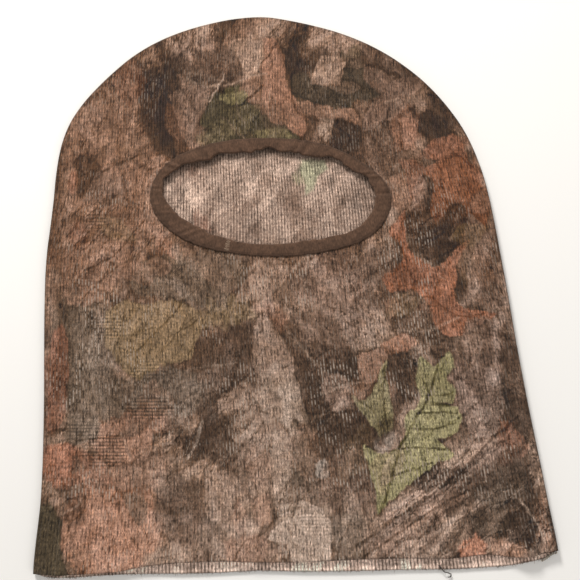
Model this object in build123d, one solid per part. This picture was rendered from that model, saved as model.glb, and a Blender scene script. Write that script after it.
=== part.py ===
from build123d import *
import math
import os

# Knitted pull-on face mask, laid flat on its back.
# +X runs across the mask, +Y from the neck mouth towards the crown, +Z up off the table.
# The origin is the centre of the footprint, on the plane the mask rests on. Millimetres.
#
# Two rib-knit panels are seamed round the sides and the crown, with their allowances turned
# inside. The raw neck edge stays open. The front panel has an oval opening, bound with a folded
# knit tape that holds a strip of elastic.

# ---- cloth and seam -----------------------------------------------------------------------
FABRIC_T = 0.9            # rib knit thickness
ALLOWANCE_W = 6.0         # seam allowance turned inside
FOLD_W = 0.9              # wall of cloth where a panel turns in at the seam
SEAM_GROOVE = 0.4         # depth of the groove the seam leaves round the outside
LOOPER_GAP = 0.3          # between a panel and its allowance, holds a looper thread
ALLOWANCE_GAP = 0.1       # between the two allowances

# ---- layers, from the table up ------------------------------------------------------------
BACK_Z0 = 0.0
BACK_Z1 = BACK_Z0 + FABRIC_T
BACK_ALLOW_Z0 = BACK_Z1 + LOOPER_GAP
BACK_ALLOW_Z1 = BACK_ALLOW_Z0 + FABRIC_T
FRONT_ALLOW_Z0 = BACK_ALLOW_Z1 + ALLOWANCE_GAP
FRONT_ALLOW_Z1 = FRONT_ALLOW_Z0 + FABRIC_T
FRONT_Z0 = FRONT_ALLOW_Z1 + LOOPER_GAP
FRONT_Z1 = FRONT_Z0 + FABRIC_T
SEAM_Z = (BACK_ALLOW_Z1 + FRONT_ALLOW_Z0) / 2

# ---- seam threads -------------------------------------------------------------------------
THREAD_T = 0.22           # thickness of a thread once pulled down
LOOPER_W = 0.25
LOOPER_CLEARANCE = 0.03   # between a looper thread and its allowance
LOOPER_NEAR = 1.5         # reach of the zigzag, measured in from the seam line
LOOPER_FAR = ALLOWANCE_W + 0.3
OVERLOCK_PITCH = 3.0      # overlock stitch length
UPPER_LOOPER_START = 0.012  # share of the seam line left bare at each end
LOWER_LOOPER_START = 0.013
SEAM_NEEDLE_INSET = 0.05  # from the seam line and from the foot of the groove
SEAM_NEEDLE_HALF_T = 0.17
CHAIN_TAIL_R = 0.35
YARN_END_R = 0.3

# ---- binding of the face opening ----------------------------------------------------------
TAPE_T = 0.6
TAPE_GAP = 0.1            # between the front panel and each leg of the tape
TAPE_TOP_Z0 = FRONT_Z1 + TAPE_GAP
TAPE_TOP_Z1 = TAPE_TOP_Z0 + TAPE_T
TAPE_UNDER_Z1 = FRONT_Z0 - TAPE_GAP
TAPE_UNDER_Z0 = TAPE_UNDER_Z1 - TAPE_T
ELASTIC_T = 0.8
# Shares of the binding's width, from its fold (0) to its outer edge (1)
WEB_F = 0.075             # web of cloth that joins the legs at the fold
ELASTIC_F = (0.12, 0.36)
RAW_EDGE_F = 0.42         # cut edge of the front panel
UNDER_LEG_F = 0.96
NEEDLE_F = 0.87
LOOPER_F = NEEDLE_F - 0.06

STITCH_PITCH = 3.0
STITCH_W = 0.4
NEEDLE_STITCH_L = 2.0
LOOPER_STITCH_L = NEEDLE_STITCH_L + 0.6
STITCH_CLEARANCE = 0.02   # between a thread and the tape
STITCH_BREAK = (-37.0, 20.6)  # no needle stitches round this point
STITCH_BREAK_R = 3.6

BARTACK_CENTRE = (-38.0, 23.6)  # where the two ends of the tape meet
BARTACK_TURN = -12.0      # degrees
BARTACK_HALF_SWING = 1.2
BARTACK_HALF_L = 2.9
BARTACK_RUNS = 8
BARTACK_W = 0.35

# ---- outlines, (x, y) ---------------------------------------------------------------------
# Seam line round the left side, the crown and the right side, from neck corner to neck corner
SIDE = [(-140.7, -154.8), (-140.5, -148.0), (-139.7, -137.5), (-138.7, -126.9), (-137.9, -116.3),
        (-137.5, -100.3), (-137.5, -84.2), (-137.8, -62.5), (-138.6, -35.0), (-139.1, -12.8),
        (-139.2, 6.8), (-138.6, 20.9), (-137.7, 29.9), (-136.8, 39.1), (-135.9, 49.5),
        (-135.2, 61.0), (-134.1, 71.4), (-132.6, 80.1), (-130.0, 88.9), (-126.2, 97.1),
        (-120.4, 105.9), (-113.4, 114.2), (-104.7, 123.1), (-94.4, 132.2), (-82.2, 140.3),
        (-67.9, 147.0), (-52.4, 152.0), (-35.2, 155.7), (-17.9, 156.8), (-1.8, 154.4),
        (14.3, 150.6), (26.9, 146.7), (40.1, 141.2), (52.1, 134.6), (62.3, 127.5),
        (71.9, 119.5), (80.3, 110.8), (87.8, 101.4), (94.1, 91.9), (99.0, 82.2),
        (103.0, 71.8), (106.5, 60.2), (109.3, 47.2), (111.9, 32.3), (114.2, 17.5),
        (116.6, 2.9), (118.9, -13.0), (121.4, -30.6), (124.2, -48.3), (127.1, -65.8),
        (130.1, -82.6), (133.1, -99.3), (136.0, -116.0), (138.3, -128.5), (139.9, -137.2),
        (140.7, -142.7)]
# Neck edges, from left to right
FRONT_HEM = [(-133.9, -155.6), (-125.9, -155.7), (-109.8, -155.0), (-96.0, -154.0), (-88.5, -152.5),
             (-78.9, -150.8), (-67.2, -149.6), (-52.2, -148.8), (-38.3, -148.5), (-21.2, -148.9),
             (-6.7, -149.0), (7.7, -148.6), (23.8, -147.8), (39.8, -147.2), (56.5, -146.8),
             (70.9, -146.9), (82.7, -146.9), (92.3, -145.8), (101.5, -144.8), (109.5, -145.4),
             (117.0, -146.2), (124.5, -145.9), (132.0, -144.4)]
BACK_HEM = [(-134.6, -156.7), (-126.5, -157.2), (-115.8, -156.8), (-105.1, -156.0), (-91.6, -155.4),
            (-78.2, -155.1), (-62.1, -155.0), (-46.0, -154.7), (-29.9, -153.9), (-21.3, -153.4),
            (-12.7, -153.5), (2.4, -153.9), (18.5, -153.8), (37.3, -153.5), (56.2, -153.0),
            (72.3, -152.8), (85.8, -152.6), (99.8, -151.8), (113.8, -150.8), (124.6, -149.0),
            (134.3, -146.6)]
# Face opening, at matching stations: the fold of the binding, and its outer edge
OPENING_FOLD = [(44.1, 51.1), (43.6, 55.7), (41.3, 60.1), (36.6, 64.2), (31.0, 67.8), (26.0, 71.3),
                (19.2, 73.8), (10.2, 74.7), (1.9, 75.8), (-6.0, 77.7), (-14.2, 78.9), (-22.6, 78.0),
                (-31.0, 77.1), (-39.2, 75.7), (-47.1, 73.7), (-55.3, 71.7), (-63.5, 69.0),
                (-70.2, 65.4), (-74.1, 60.9), (-75.0, 55.9), (-73.6, 51.1), (-70.6, 46.7),
                (-67.6, 42.5), (-63.0, 38.7), (-57.0, 35.5), (-51.4, 32.5), (-45.4, 29.7),
                (-38.4, 27.4), (-30.7, 25.6), (-22.6, 24.4), (-14.2, 24.2), (-5.9, 24.9),
                (2.2, 25.9), (10.6, 27.0), (19.1, 28.4), (27.3, 30.5), (34.2, 33.6), (38.9, 37.6),
                (42.0, 42.0), (43.8, 46.5)]
OPENING_EDGE = [(53.4, 51.1), (52.0, 56.4), (49.0, 61.4), (44.2, 66.0), (38.2, 70.1), (32.2, 74.2),
                (25.3, 77.9), (16.6, 81.0), (6.8, 83.3), (-3.6, 84.7), (-14.2, 85.1), (-24.9, 84.9),
                (-35.6, 84.1), (-45.8, 82.3), (-55.3, 79.6), (-63.9, 76.1), (-70.9, 71.8),
                (-75.9, 66.8), (-79.3, 61.7), (-81.2, 56.4), (-81.6, 51.1), (-80.7, 45.9),
                (-78.4, 40.7), (-74.4, 35.8), (-69.0, 31.1), (-62.4, 26.9), (-54.4, 23.5),
                (-45.0, 20.8), (-35.0, 19.0), (-24.7, 17.9), (-14.2, 17.4), (-3.5, 17.4),
                (6.9, 18.4), (17.1, 20.2), (27.3, 22.6), (36.5, 25.8), (43.4, 30.2), (48.1, 35.2),
                (51.3, 40.5), (53.1, 45.8)]
SIDE_RUNS = 132           # straight runs the seam line is cut into
OPENING_RUNS = 80         # straight runs round the opening

# Paths of the loose threads, (x, y, z)
CHAIN_TAIL_LEFT = [(-131.5, -151.2, 2.7), (-129.0, -149.8, 2.75), (-126.0, -150.6, 2.7),
                   (-124.0, -153.0, 2.7)]
CHAIN_TAIL_RIGHT = [(133.0, -143.2, 1.75), (131.0, -145.2, 1.6), (127.8, -145.6, 1.5),
                    (124.8, -147.0, 1.45)]
YARN_END = [(78.0, -151.8, 1.35), (79.6, -153.6, 1.35), (82.0, -154.6, 1.3), (83.4, -156.4, 1.0)]

side_edge = Spline(*SIDE)


# ---- lines --------------------------------------------------------------------------------
def station(share, inset):
    """A point inset from the seam line, at a share of its length."""
    point = side_edge.position_at(share)
    along = side_edge.tangent_at(share)
    return (point.X + along.Y * inset, point.Y - along.X * inset)


def side_line(inset, trim=0):
    """The seam line, inset, with trim runs left off each end."""
    return [station(i / SIDE_RUNS, inset) for i in range(trim, SIDE_RUNS - trim + 1)]


def opening_line(share):
    """The opening's contour at a share of the binding's width."""
    points = []
    count = len(OPENING_FOLD)
    for i in range(OPENING_RUNS):
        place = i * count / OPENING_RUNS
        first = int(place)
        w = place - first
        # A Catmull-Rom cubic through four neighbours keeps the oval smooth between stations
        weights = (-0.5 * w + w ** 2 - 0.5 * w ** 3,
                   1 - 2.5 * w ** 2 + 1.5 * w ** 3,
                   0.5 * w + 2 * w ** 2 - 1.5 * w ** 3,
                   -0.5 * w ** 2 + 0.5 * w ** 3)
        x = y = 0.0
        for k, weight in enumerate(weights):
            fold = OPENING_FOLD[(first + k - 1) % count]
            edge = OPENING_EDGE[(first + k - 1) % count]
            x += weight * (fold[0] + share * (edge[0] - fold[0]))
            y += weight * (fold[1] + share * (edge[1] - fold[1]))
        points.append((x, y))
    return points


# ---- solids -------------------------------------------------------------------------------
def prism(outline, z0, z1, hole=None):
    outer = Wire(Polyline(*outline, close=True).edges())
    inner = [Wire(Polyline(*hole, close=True).edges())] if hole else []
    return extrude(Pos(0, 0, z0) * Face(outer, inner), amount=z1 - z0, dir=(0, 0, 1))


def band(inset0, inset1, z0, z1, trim=1):
    """A strip that follows the seam, between two insets."""
    return prism(side_line(inset0, trim) + side_line(inset1, trim)[::-1], z0, z1)


def opening_ring(share0, share1, z0, z1):
    return prism(opening_line(share1), z0, z1, hole=opening_line(share0))


def ribbon(centre, width, z0):
    """A flat thread along a polyline, with mitred corners."""
    normals = []
    for (x0, y0), (x1, y1) in zip(centre, centre[1:]):
        length = math.hypot(x1 - x0, y1 - y0)
        normals.append(((y0 - y1) / length, (x1 - x0) / length))
    left, right = [], []
    for (x, y), before, after in zip(centre, normals[:1] + normals, normals + normals[-1:]):
        mitre_x, mitre_y = before[0] + after[0], before[1] + after[1]
        reach = width / 2 / (mitre_x * before[0] + mitre_y * before[1])
        left.append((x + mitre_x * reach, y + mitre_y * reach))
        right.append((x - mitre_x * reach, y - mitre_y * reach))
    return prism(left + right[::-1], z0, z0 + THREAD_T)


def cord(points, radius):
    """A round thread swept through points."""
    path = Spline(*points)
    return sweep(Plane(origin=path @ 0, z_dir=path % 0) * Circle(radius), path=path)


# ---- panels -------------------------------------------------------------------------------
def back_panel():
    return (
        prism(side_line(0.0) + BACK_HEM[::-1], BACK_Z0, BACK_Z1)
        + band(0.0, FOLD_W, BACK_Z1, BACK_ALLOW_Z1 - SEAM_GROOVE)
        + band(SEAM_GROOVE, ALLOWANCE_W, BACK_ALLOW_Z0, BACK_ALLOW_Z1)
    )


def front_panel():
    return (
        prism(side_line(0.0) + FRONT_HEM[::-1], FRONT_Z0, FRONT_Z1, hole=opening_line(RAW_EDGE_F))
        + band(0.0, FOLD_W, FRONT_ALLOW_Z0 + SEAM_GROOVE, FRONT_Z0)
        + band(SEAM_GROOVE, ALLOWANCE_W, FRONT_ALLOW_Z0, FRONT_ALLOW_Z1)
    )


# ---- side and crown seam ------------------------------------------------------------------
def seam_needle_thread():
    return band(SEAM_NEEDLE_INSET, SEAM_GROOVE - SEAM_NEEDLE_INSET,
                SEAM_Z - SEAM_NEEDLE_HALF_T, SEAM_Z + SEAM_NEEDLE_HALF_T, trim=2)


def looper_thread(start, far_first, z0):
    """A zigzag between a line near the seam and one just past the allowance's raw edge."""
    runs = 2 * int(side_edge.length / OVERLOCK_PITCH)
    points = []
    for i in range(runs + 1):
        far = (i % 2 == 1) != far_first
        share = start + (1 - 2 * start) * i / runs
        points.append(station(share, LOOPER_FAR if far else LOOPER_NEAR))
    return ribbon(points, LOOPER_W, z0)


# ---- face opening -------------------------------------------------------------------------
def opening_binding():
    return (
        opening_ring(0.0, 1.0, TAPE_TOP_Z0, TAPE_TOP_Z1)
        + opening_ring(0.0, UNDER_LEG_F, TAPE_UNDER_Z0, TAPE_UNDER_Z1)
        + opening_ring(0.0, WEB_F, TAPE_UNDER_Z1, TAPE_TOP_Z0)
    )


def opening_elastic():
    middle = (FRONT_Z0 + FRONT_Z1) / 2
    return opening_ring(*ELASTIC_F, middle - ELASTIC_T / 2, middle + ELASTIC_T / 2)


def binding_stitches(share, length, z0, leave_break=False):
    """Separate stitches laid along the binding."""
    edge = Spline(*opening_line(share), periodic=True)
    count = int(edge.length / STITCH_PITCH)
    stitches = []
    for i in range(count):
        t = (i + 0.5) / count
        point, along = edge.position_at(t), edge.tangent_at(t)
        if leave_break and math.dist((point.X, point.Y), STITCH_BREAK) < STITCH_BREAK_R:
            continue
        place = Pos(point.X, point.Y, z0 + THREAD_T / 2)
        turn = Rot(0, 0, math.degrees(math.atan2(along.Y, along.X)))
        stitches.append((place * turn * Box(length, STITCH_W, THREAD_T)).solid())
    return stitches


def binding_join_bartack():
    """A short zigzag over the lapped ends of the tape."""
    turn = math.radians(BARTACK_TURN)
    points = []
    for i in range(BARTACK_RUNS + 1):
        along = -BARTACK_HALF_SWING if i % 2 else BARTACK_HALF_SWING
        across = BARTACK_HALF_L * (2 * i / BARTACK_RUNS - 1)
        points.append((BARTACK_CENTRE[0] + along * math.cos(turn) - across * math.sin(turn),
                       BARTACK_CENTRE[1] + along * math.sin(turn) + across * math.cos(turn)))
    return ribbon(points, BARTACK_W, TAPE_TOP_Z1 + STITCH_CLEARANCE)


# ---- export -------------------------------------------------------------------------------
def save(name, made):
    """Write a shape, or a list of solids, as one file."""
    solids = made if isinstance(made, list) else list(made.solids())
    shape = solids[0] if len(solids) == 1 else Compound(children=solids)
    export_step(shape, f"parts/{name}.step")


os.makedirs("parts", exist_ok=True)
save("back_panel", back_panel())
save("front_panel", front_panel())
save("seam_needle_thread", seam_needle_thread())
save("seam_upper_looper_thread",
     looper_thread(UPPER_LOOPER_START, False, FRONT_ALLOW_Z1 + LOOPER_CLEARANCE))
save("seam_lower_looper_thread",
     looper_thread(LOWER_LOOPER_START, True, BACK_ALLOW_Z0 - LOOPER_CLEARANCE - THREAD_T))
# Ends of the overlock chain, left long inside the two neck corners
save("seam_chain_tail_left", cord(CHAIN_TAIL_LEFT, CHAIN_TAIL_R))
save("seam_chain_tail_right", cord(CHAIN_TAIL_RIGHT, CHAIN_TAIL_R))
save("opening_binding", opening_binding())
save("opening_elastic", opening_elastic())
save("binding_needle_thread",
     binding_stitches(NEEDLE_F, NEEDLE_STITCH_L, TAPE_TOP_Z1 + STITCH_CLEARANCE, leave_break=True))
save("binding_looper_thread",
     binding_stitches(LOOPER_F, LOOPER_STITCH_L, TAPE_UNDER_Z0 - STITCH_CLEARANCE - THREAD_T))
save("binding_join_bartack", binding_join_bartack())
# A loose end of yarn at the back neck edge
save("loose_yarn_end", cord(YARN_END, YARN_END_R))
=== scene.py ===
"""A mask of printed rib knit: two panels sewn together round the sides and crown, open at the neck.

The front panel has an opening bound with brown tape over elastic. The mask lies on its back:
+X to the right, +Y to the crown, +Z up out of the front panel.

Shapes are worked out in millimetres and turned to metres as each mesh is made. The knit's
pattern place is where a point of cloth lies when flat. Its ribs run up the mask.
"""
import math

import bpy
import numpy as np
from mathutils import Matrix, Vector


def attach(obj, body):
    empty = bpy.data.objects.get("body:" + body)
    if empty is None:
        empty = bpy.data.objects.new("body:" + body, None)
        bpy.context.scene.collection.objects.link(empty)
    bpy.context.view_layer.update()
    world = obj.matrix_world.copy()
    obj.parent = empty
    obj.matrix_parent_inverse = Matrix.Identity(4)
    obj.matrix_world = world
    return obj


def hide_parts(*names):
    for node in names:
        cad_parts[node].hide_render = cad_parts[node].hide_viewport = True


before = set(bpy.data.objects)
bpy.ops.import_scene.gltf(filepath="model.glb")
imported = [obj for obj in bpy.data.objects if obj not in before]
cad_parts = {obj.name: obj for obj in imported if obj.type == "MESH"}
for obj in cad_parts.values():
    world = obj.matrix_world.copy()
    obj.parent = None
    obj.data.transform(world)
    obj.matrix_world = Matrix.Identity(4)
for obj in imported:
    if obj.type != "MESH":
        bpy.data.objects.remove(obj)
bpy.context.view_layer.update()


# ------------------------------------------------------------------ tables kept as text
def points(text):
    """An array of x, y from words such as 1.5,2."""
    return np.array([word.split(",") for word in text.split()], float)


def rows(text):
    """A row per line, carried on by indented lines. Its x,y words become one last column."""
    table = []
    for line in text.strip().replace("\n ", " ").splitlines():
        cells = [w if w[0].isalpha() else float(w) for w in line.split() if "," not in w]
        path = " ".join(w for w in line.split() if "," in w)
        table.append((*cells, points(path)) if path else cells)
    return table


# ------------------------------------------------------------------ outlines, x,y in mm
# The seam: up the left side, over the crown, down the right side.
SIDE = points("""
-140.7,-154.8 -140.5,-148.0 -139.7,-137.5 -138.7,-126.9 -137.9,-116.3 -137.5,-100.3 -137.5,-84.2
-137.8,-62.5 -138.6,-35.0 -139.1,-12.8 -139.2,6.8 -138.6,20.9 -137.7,29.9 -136.8,39.1
-135.9,49.5 -135.2,61.0 -134.1,71.4 -132.6,80.1 -130.0,88.9 -126.2,97.1 -120.4,105.9
-113.4,114.2 -104.7,123.1 -94.4,132.2 -82.2,140.3 -67.9,147.0 -52.4,152.0 -35.2,155.7
-17.9,156.8 -1.8,154.4 14.3,150.6 26.9,146.7 40.1,141.2 52.1,134.6 62.3,127.5 71.9,119.5
80.3,110.8 87.8,101.4 94.1,91.9 99.0,82.2 103.0,71.8 106.5,60.2 109.3,47.2 111.9,32.3
114.2,17.5 116.6,2.9 118.9,-13.0 121.4,-30.6 124.2,-48.3 127.1,-65.8 130.1,-82.6 133.1,-99.3
136.0,-116.0 138.3,-128.5 139.9,-137.2 140.7,-142.7""")
CROWN_LEFT, CROWN_RIGHT = 15, 41        # stations where the sides turn into the crown
# Neck edges of the two panels, left to right.
FRONT_HEM = points("""
-140.7,-154.8 -133.9,-155.6 -125.9,-155.7 -109.8,-155.0 -96.0,-154.0 -88.5,-152.5 -78.9,-150.8
-67.2,-149.6 -52.2,-148.8 -38.3,-148.5 -21.2,-148.9 -6.7,-149.0 7.7,-148.6 23.8,-147.8
39.8,-147.2 56.5,-146.8 70.9,-146.9 82.7,-146.9 92.3,-145.8 101.5,-144.8 109.5,-145.4
117.0,-146.2 124.5,-145.9 132.0,-144.4 140.7,-142.7""")
BACK_HEM = points("""
-140.7,-154.8 -134.6,-156.7 -126.5,-157.2 -115.8,-156.8 -105.1,-156.0 -91.6,-155.4
-78.2,-155.1 -62.1,-155.0 -46.0,-154.7 -29.9,-153.9 -21.3,-153.4 -12.7,-153.5 2.4,-153.9
18.5,-153.8 37.3,-153.5 56.2,-153.0 72.3,-152.8 85.8,-152.6 99.8,-151.8 113.8,-150.8
124.6,-149.0 134.3,-146.6 140.7,-142.7""")
# The binding's fold and outer edge, anticlockwise from the right.
OPENING_FOLD = points("""
44.1,51.1 43.6,55.7 41.3,60.1 36.6,64.2 31.0,67.8 26.0,71.3 19.2,73.8 10.2,74.7 1.9,75.8
-6.0,77.7 -14.2,78.9 -22.6,78.0 -31.0,77.1 -39.2,75.7 -47.1,73.7 -55.3,71.7 -63.5,69.0
-70.2,65.4 -74.1,60.9 -75.0,55.9 -73.6,51.1 -70.6,46.7 -67.6,42.5 -63.0,38.7 -57.0,35.5
-51.4,32.5 -45.4,29.7 -38.4,27.4 -30.7,25.6 -22.6,24.4 -14.2,24.2 -5.9,24.9 2.2,25.9
10.6,27.0 19.1,28.4 27.3,30.5 34.2,33.6 38.9,37.6 42.0,42.0 43.8,46.5""")
OPENING_EDGE = points("""
53.4,51.1 52.0,56.4 49.0,61.4 44.2,66.0 38.2,70.1 32.2,74.2 25.3,77.9 16.6,81.0 6.8,83.3
-3.6,84.7 -14.2,85.1 -24.9,84.9 -35.6,84.1 -45.8,82.3 -55.3,79.6 -63.9,76.1 -70.9,71.8
-75.9,66.8 -79.3,61.7 -81.2,56.4 -81.6,51.1 -80.7,45.9 -78.4,40.7 -74.4,35.8 -69.0,31.1
-62.4,26.9 -54.4,23.5 -45.0,20.8 -35.0,19.0 -24.7,17.9 -14.2,17.4 -3.5,17.4 6.9,18.4
17.1,20.2 27.3,22.6 36.5,25.8 43.4,30.2 48.1,35.2 51.3,40.5 53.1,45.8""")
OPENING_CENTRE = (-14.2, 51.1)
OPENING_RADIUS = 52.0     # mm along the opening to a radian of turn

# ------------------------------------------------------------------ sizes, mm
SEAM_Z = 2.15             # plane where the two panels meet
CLOTH = 0.9               # thickness
RIB = 1.9                 # distance between ribs at the neck edge
COURSE = 1.35             # distance between courses
RIBS = 148
PANEL_WIDTH = 281.4       # at the neck edge
ROLL = 0.6                # radius of the turn at the seam, to mid cloth
ROLL_IN = ROLL + CLOTH / 2              # its centre, inside the seam line
ALLOWANCE_RISE = 0.5      # mid cloth of the allowance off the seam plane
ROLL_Z = ALLOWANCE_RISE + ROLL
MID_RISE = ROLL_Z + ROLL  # mid cloth of the panels off the seam plane
QUARTER = ROLL * math.pi / 2
CUT_SHARE = 0.42          # where the front panel's cut edge lies across the folded tape
SAG = 1.35                # how far the front layer sinks
DRAPE_GAIN = 0.80
DRAPE_STEP = 3.4          # grid step of the cloth simulation
SHEET = np.array([304.0, 332.0])        # flat pattern sheet for the UV maps
SHEET_CORNER = np.array([152, 166])     # pattern place 0, 0 from the sheet's lower left corner

# Rises or hollows that run along a line: height mm, half-width mm, path.
CREASES = rows("""
.9 1.7 -95,-99 -73,-87 -49,-73
.6 1.4 -78,-105 -64,-90 -57,-78
1 1.5 -60,-94 -50,-73 -39,-60
.45 1.1 -126,90 -127,-8 -126,-100
.35 1.1 -122,-105 -124,-127 -125,-149
.8 1.6 30,-142 52,-127 73,-113 94,-96 121,-73
.7 1.5 42,-146 67,-129 94,-113 119,-99
.6 2 54,109 67,95 84,79
.6 2 2,119 24,122 46,113
.6 1.8 0,106 19,98 39,94
.6 1.6 -59,121 -44,114 -27,119 -16,124
.6 1.4 -48,107 -43,116 -35,122
.5 2.2 -84,122 -73,103 -69,84
.5 2.4 94,-8 110,-51 121,-100
.5 1.1 109,25 117,-13 123,-57 131,-100 134,-132
.6 1.3 117,-84 126,-116 132,-142
.45 3 -46,13 -62,-19 -78,-62
.45 3.2 19,8 29,-40 24,-89
.8 1.8 113,-149 126,-141 136,-127
.45 1.6 -125,-4 -113,13 -94,27
.5 1.6 52,90 56,68 54,52
.5 1.6 78,25 94,29 105,39
""")


# ------------------------------------------------------------------ the print
def srgb(rgb):
    """Linear colour from sRGB, 0 to 255."""
    rgb = np.asarray(rgb, float) / 255.0
    return np.where(rgb <= 0.04045, rgb / 12.92, ((rgb + 0.055) / 1.055) ** 2.4)


INKS = {name: srgb(rgb) for name, rgb in {
    "tan": (134, 103, 83), "tan2": (147, 120, 101), "tan3": (140, 112, 95),
    "sand": (150, 123, 103), "sand2": (166, 140, 119), "ash": (150, 140, 130),
    "taupe": (116, 95, 82), "taupe2": (126, 103, 90), "taupe4": (138, 116, 104),
    "umber": (68, 55, 47), "umber2": (82, 67, 58),
    "slate": (105, 91, 78), "slate2": (97, 84, 73), "slate3": (78, 70, 60),
    "pine": (76, 73, 58), "pine2": (74, 68, 56), "moss": (100, 94, 72), "fern": (122, 118, 82),
    "clay": (136, 104, 84), "clay2": (138, 104, 84),
    "orange": (142, 104, 82), "orange2": (150, 110, 88), "orange3": (152, 105, 78),
    "rust": (126, 84, 61), "rust2": (128, 88, 68), "rust3": (122, 84, 66),
    "rust4": (150, 98, 72), "rust5": (144, 94, 68),
    "olive": (122, 102, 74), "olive2": (124, 106, 78),
    "lime": (127, 124, 82), "lime2": (122, 116, 82)}.items()}
LIGHT_YARN = srgb((182, 158, 138))

# Soft blots under the drawing: centre x y, half-sizes x y, turn in degrees, ink, softness, opacity.
PATCHES = rows("""
-100 73 32.4 51.3 0 tan .5 .8
-108 33 29.7 32.4 0 tan .5 .7
-60 122 21.6 21.6 0 taupe .5 .6
-28 132 14 10.8 8 sand .22 .85
-49 130 10.8 8.6 0 tan .3 .6
-73 102 8.1 29.2 6 umber .14 .95
-64 73 7.6 9.7 20 umber .2 .8
-57 91 8.6 24.3 5 taupe .3 .75
-91 68 14 10.8 0 clay .5 .5
-87 90 4.3 11.9 10 clay .4 .5
-34 98 16.2 16.2 -10 pine .2 .92
-43 84 10.8 7.6 0 moss .3 .7
-21 83 11.9 4.3 0 fern .3 .55
-40 109 5.4 3.2 30 fern .3 .6
-13 116 7 24.8 7 orange .18 .92
-2 95 9.7 13 0 tan .4 .6
-2 130 7.6 9.7 30 umber .2 .8
16 123 9.2 7 -18 sand .12 .95
30 128 7 9.2 -10 pine .16 .9
21 109 24.8 4.9 -8 pine .2 .8
12 103 18.4 2.7 -22 pine .2 .7
27 83 8.6 17.3 -6 umber2 .14 .92
19 91 4.9 7.6 0 sand2 .2 .7
44 111 10.8 11.9 -30 clay .35 .6
48 84 16.2 20.5 0 taupe .4 .6
63 91 7 13 -14 orange2 .3 .8
78 96 10.8 7.6 -30 umber .14 .9
84 80 16.2 4.3 14 rust2 .25 .7
92 48 14.6 24.8 -8 rust .18 .9
73 41 11.9 14 0 clay .3 .6
74 55 3.8 9.7 -14 umber2 .12 .95
84 29 16.2 7.6 -12 umber .2 .85
97 73 11.9 3.8 28 umber .22 .7
104 13 6.5 21.6 -8 taupe .25 .8
-116 65 9.2 13 0 umber .3 .75
-126 61 2.7 7.6 0 rust2 .3 .7
-122 27 5.9 9.7 0 rust2 .35 .65
-106 53 9.7 7.6 0 taupe .3 .6
-72 24 4.3 10.8 6 orange .22 .8
-84 38 10.8 8.6 0 clay .35 .55
-49 7 24.8 14 10 slate .22 .85
-62 -8 16.2 8.6 0 slate .3 .6
-30 19 14 6.5 0 taupe .3 .6
-8 -2 15.1 15.1 0 tan2 .3 .75
-18 -20 10.8 8.6 0 orange2 .35 .6
19 3 21.6 18.4 0 taupe2 .4 .7
19 -21 19.4 13 0 taupe .35 .7
56 13 14 14 0 taupe .3 .6
-127 -11 8.6 21.6 0 slate .3 .6
-111 -32 13 27 8 slate .25 .8
-132 -56 4.3 23.8 0 rust3 .25 .8
-104 -61 23.8 8.6 4 slate .25 .8
-63 -59 18.4 11.9 0 slate2 .18 .85
-32 -36 15.1 24.8 -24 umber2 .22 .85
-40 -16 18.4 6.5 12 olive2 .3 .6
-48 -75 7 22.7 -34 umber .18 .92
-38 -88 8.6 13 -14 umber2 .2 .8
-14 -54 10.8 18.4 8 umber2 .2 .8
-3 -64 5.9 14 8 sand2 .14 .95
-24 -69 9.7 16.2 -6 tan2 .25 .8
-18 -100 16.2 25.9 0 tan2 .3 .75
4 -90 7.6 19.4 0 slate2 .2 .85
27 -47 28.1 13 -6 umber .25 .75
14 -69 14 24.8 6 umber .2 .85
41 -60 13 10.8 0 clay2 .22 .8
63 -47 9.7 16.2 12 umber .2 .85
29 -94 14 21.6 0 umber2 .25 .8
26 -112 21.6 14 20 taupe .3 .7
48 -84 8.1 5.4 0 ash .3 .75
4 -134 14 14 0 sand2 .2 .85
27 -138 9.2 13 10 slate2 .2 .85
-24 -138 18.4 11.9 0 tan2 .35 .6
-91 -79 18.4 7 10 orange .22 .85
-126 -96 10.8 9.7 0 rust4 .2 .9
-99 -104 23.8 15.1 8 clay2 .3 .8
-97 -127 22.7 23.8 14 orange3 .22 .85
-115 -119 10.8 14 0 clay .3 .7
-134 -142 9.2 22.7 -4 pine2 .12 .97
-62 -115 13 14 0 umber2 .25 .75
-52 -138 16.2 14 0 taupe .3 .7
-69 -146 16.2 7.6 0 tan2 .3 .7
98 -61 15.1 23.8 10 taupe2 .25 .85
113 -24 8.6 24.8 6 taupe .25 .8
110 -62 8.6 18.4 10 umber .22 .75
117 -84 6.5 14 0 rust3 .3 .6
69 -119 24.8 8.6 32 tan3 .22 .85
94 -100 23.8 9.7 34 taupe2 .25 .8
56 -141 23.8 9.7 10 taupe .3 .7
110 -110 16.2 9.7 24 slate2 .22 .75
121 -132 14 10.8 20 umber .2 .85
113 -141 13 5.4 0 clay .3 .7
93 -141 7.6 4.3 24 rust4 .12 .95
136 -127 4.3 16.2 8 clay2 .3 .7
78 -105 13 5.4 30 umber .22 .7
""")

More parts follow.
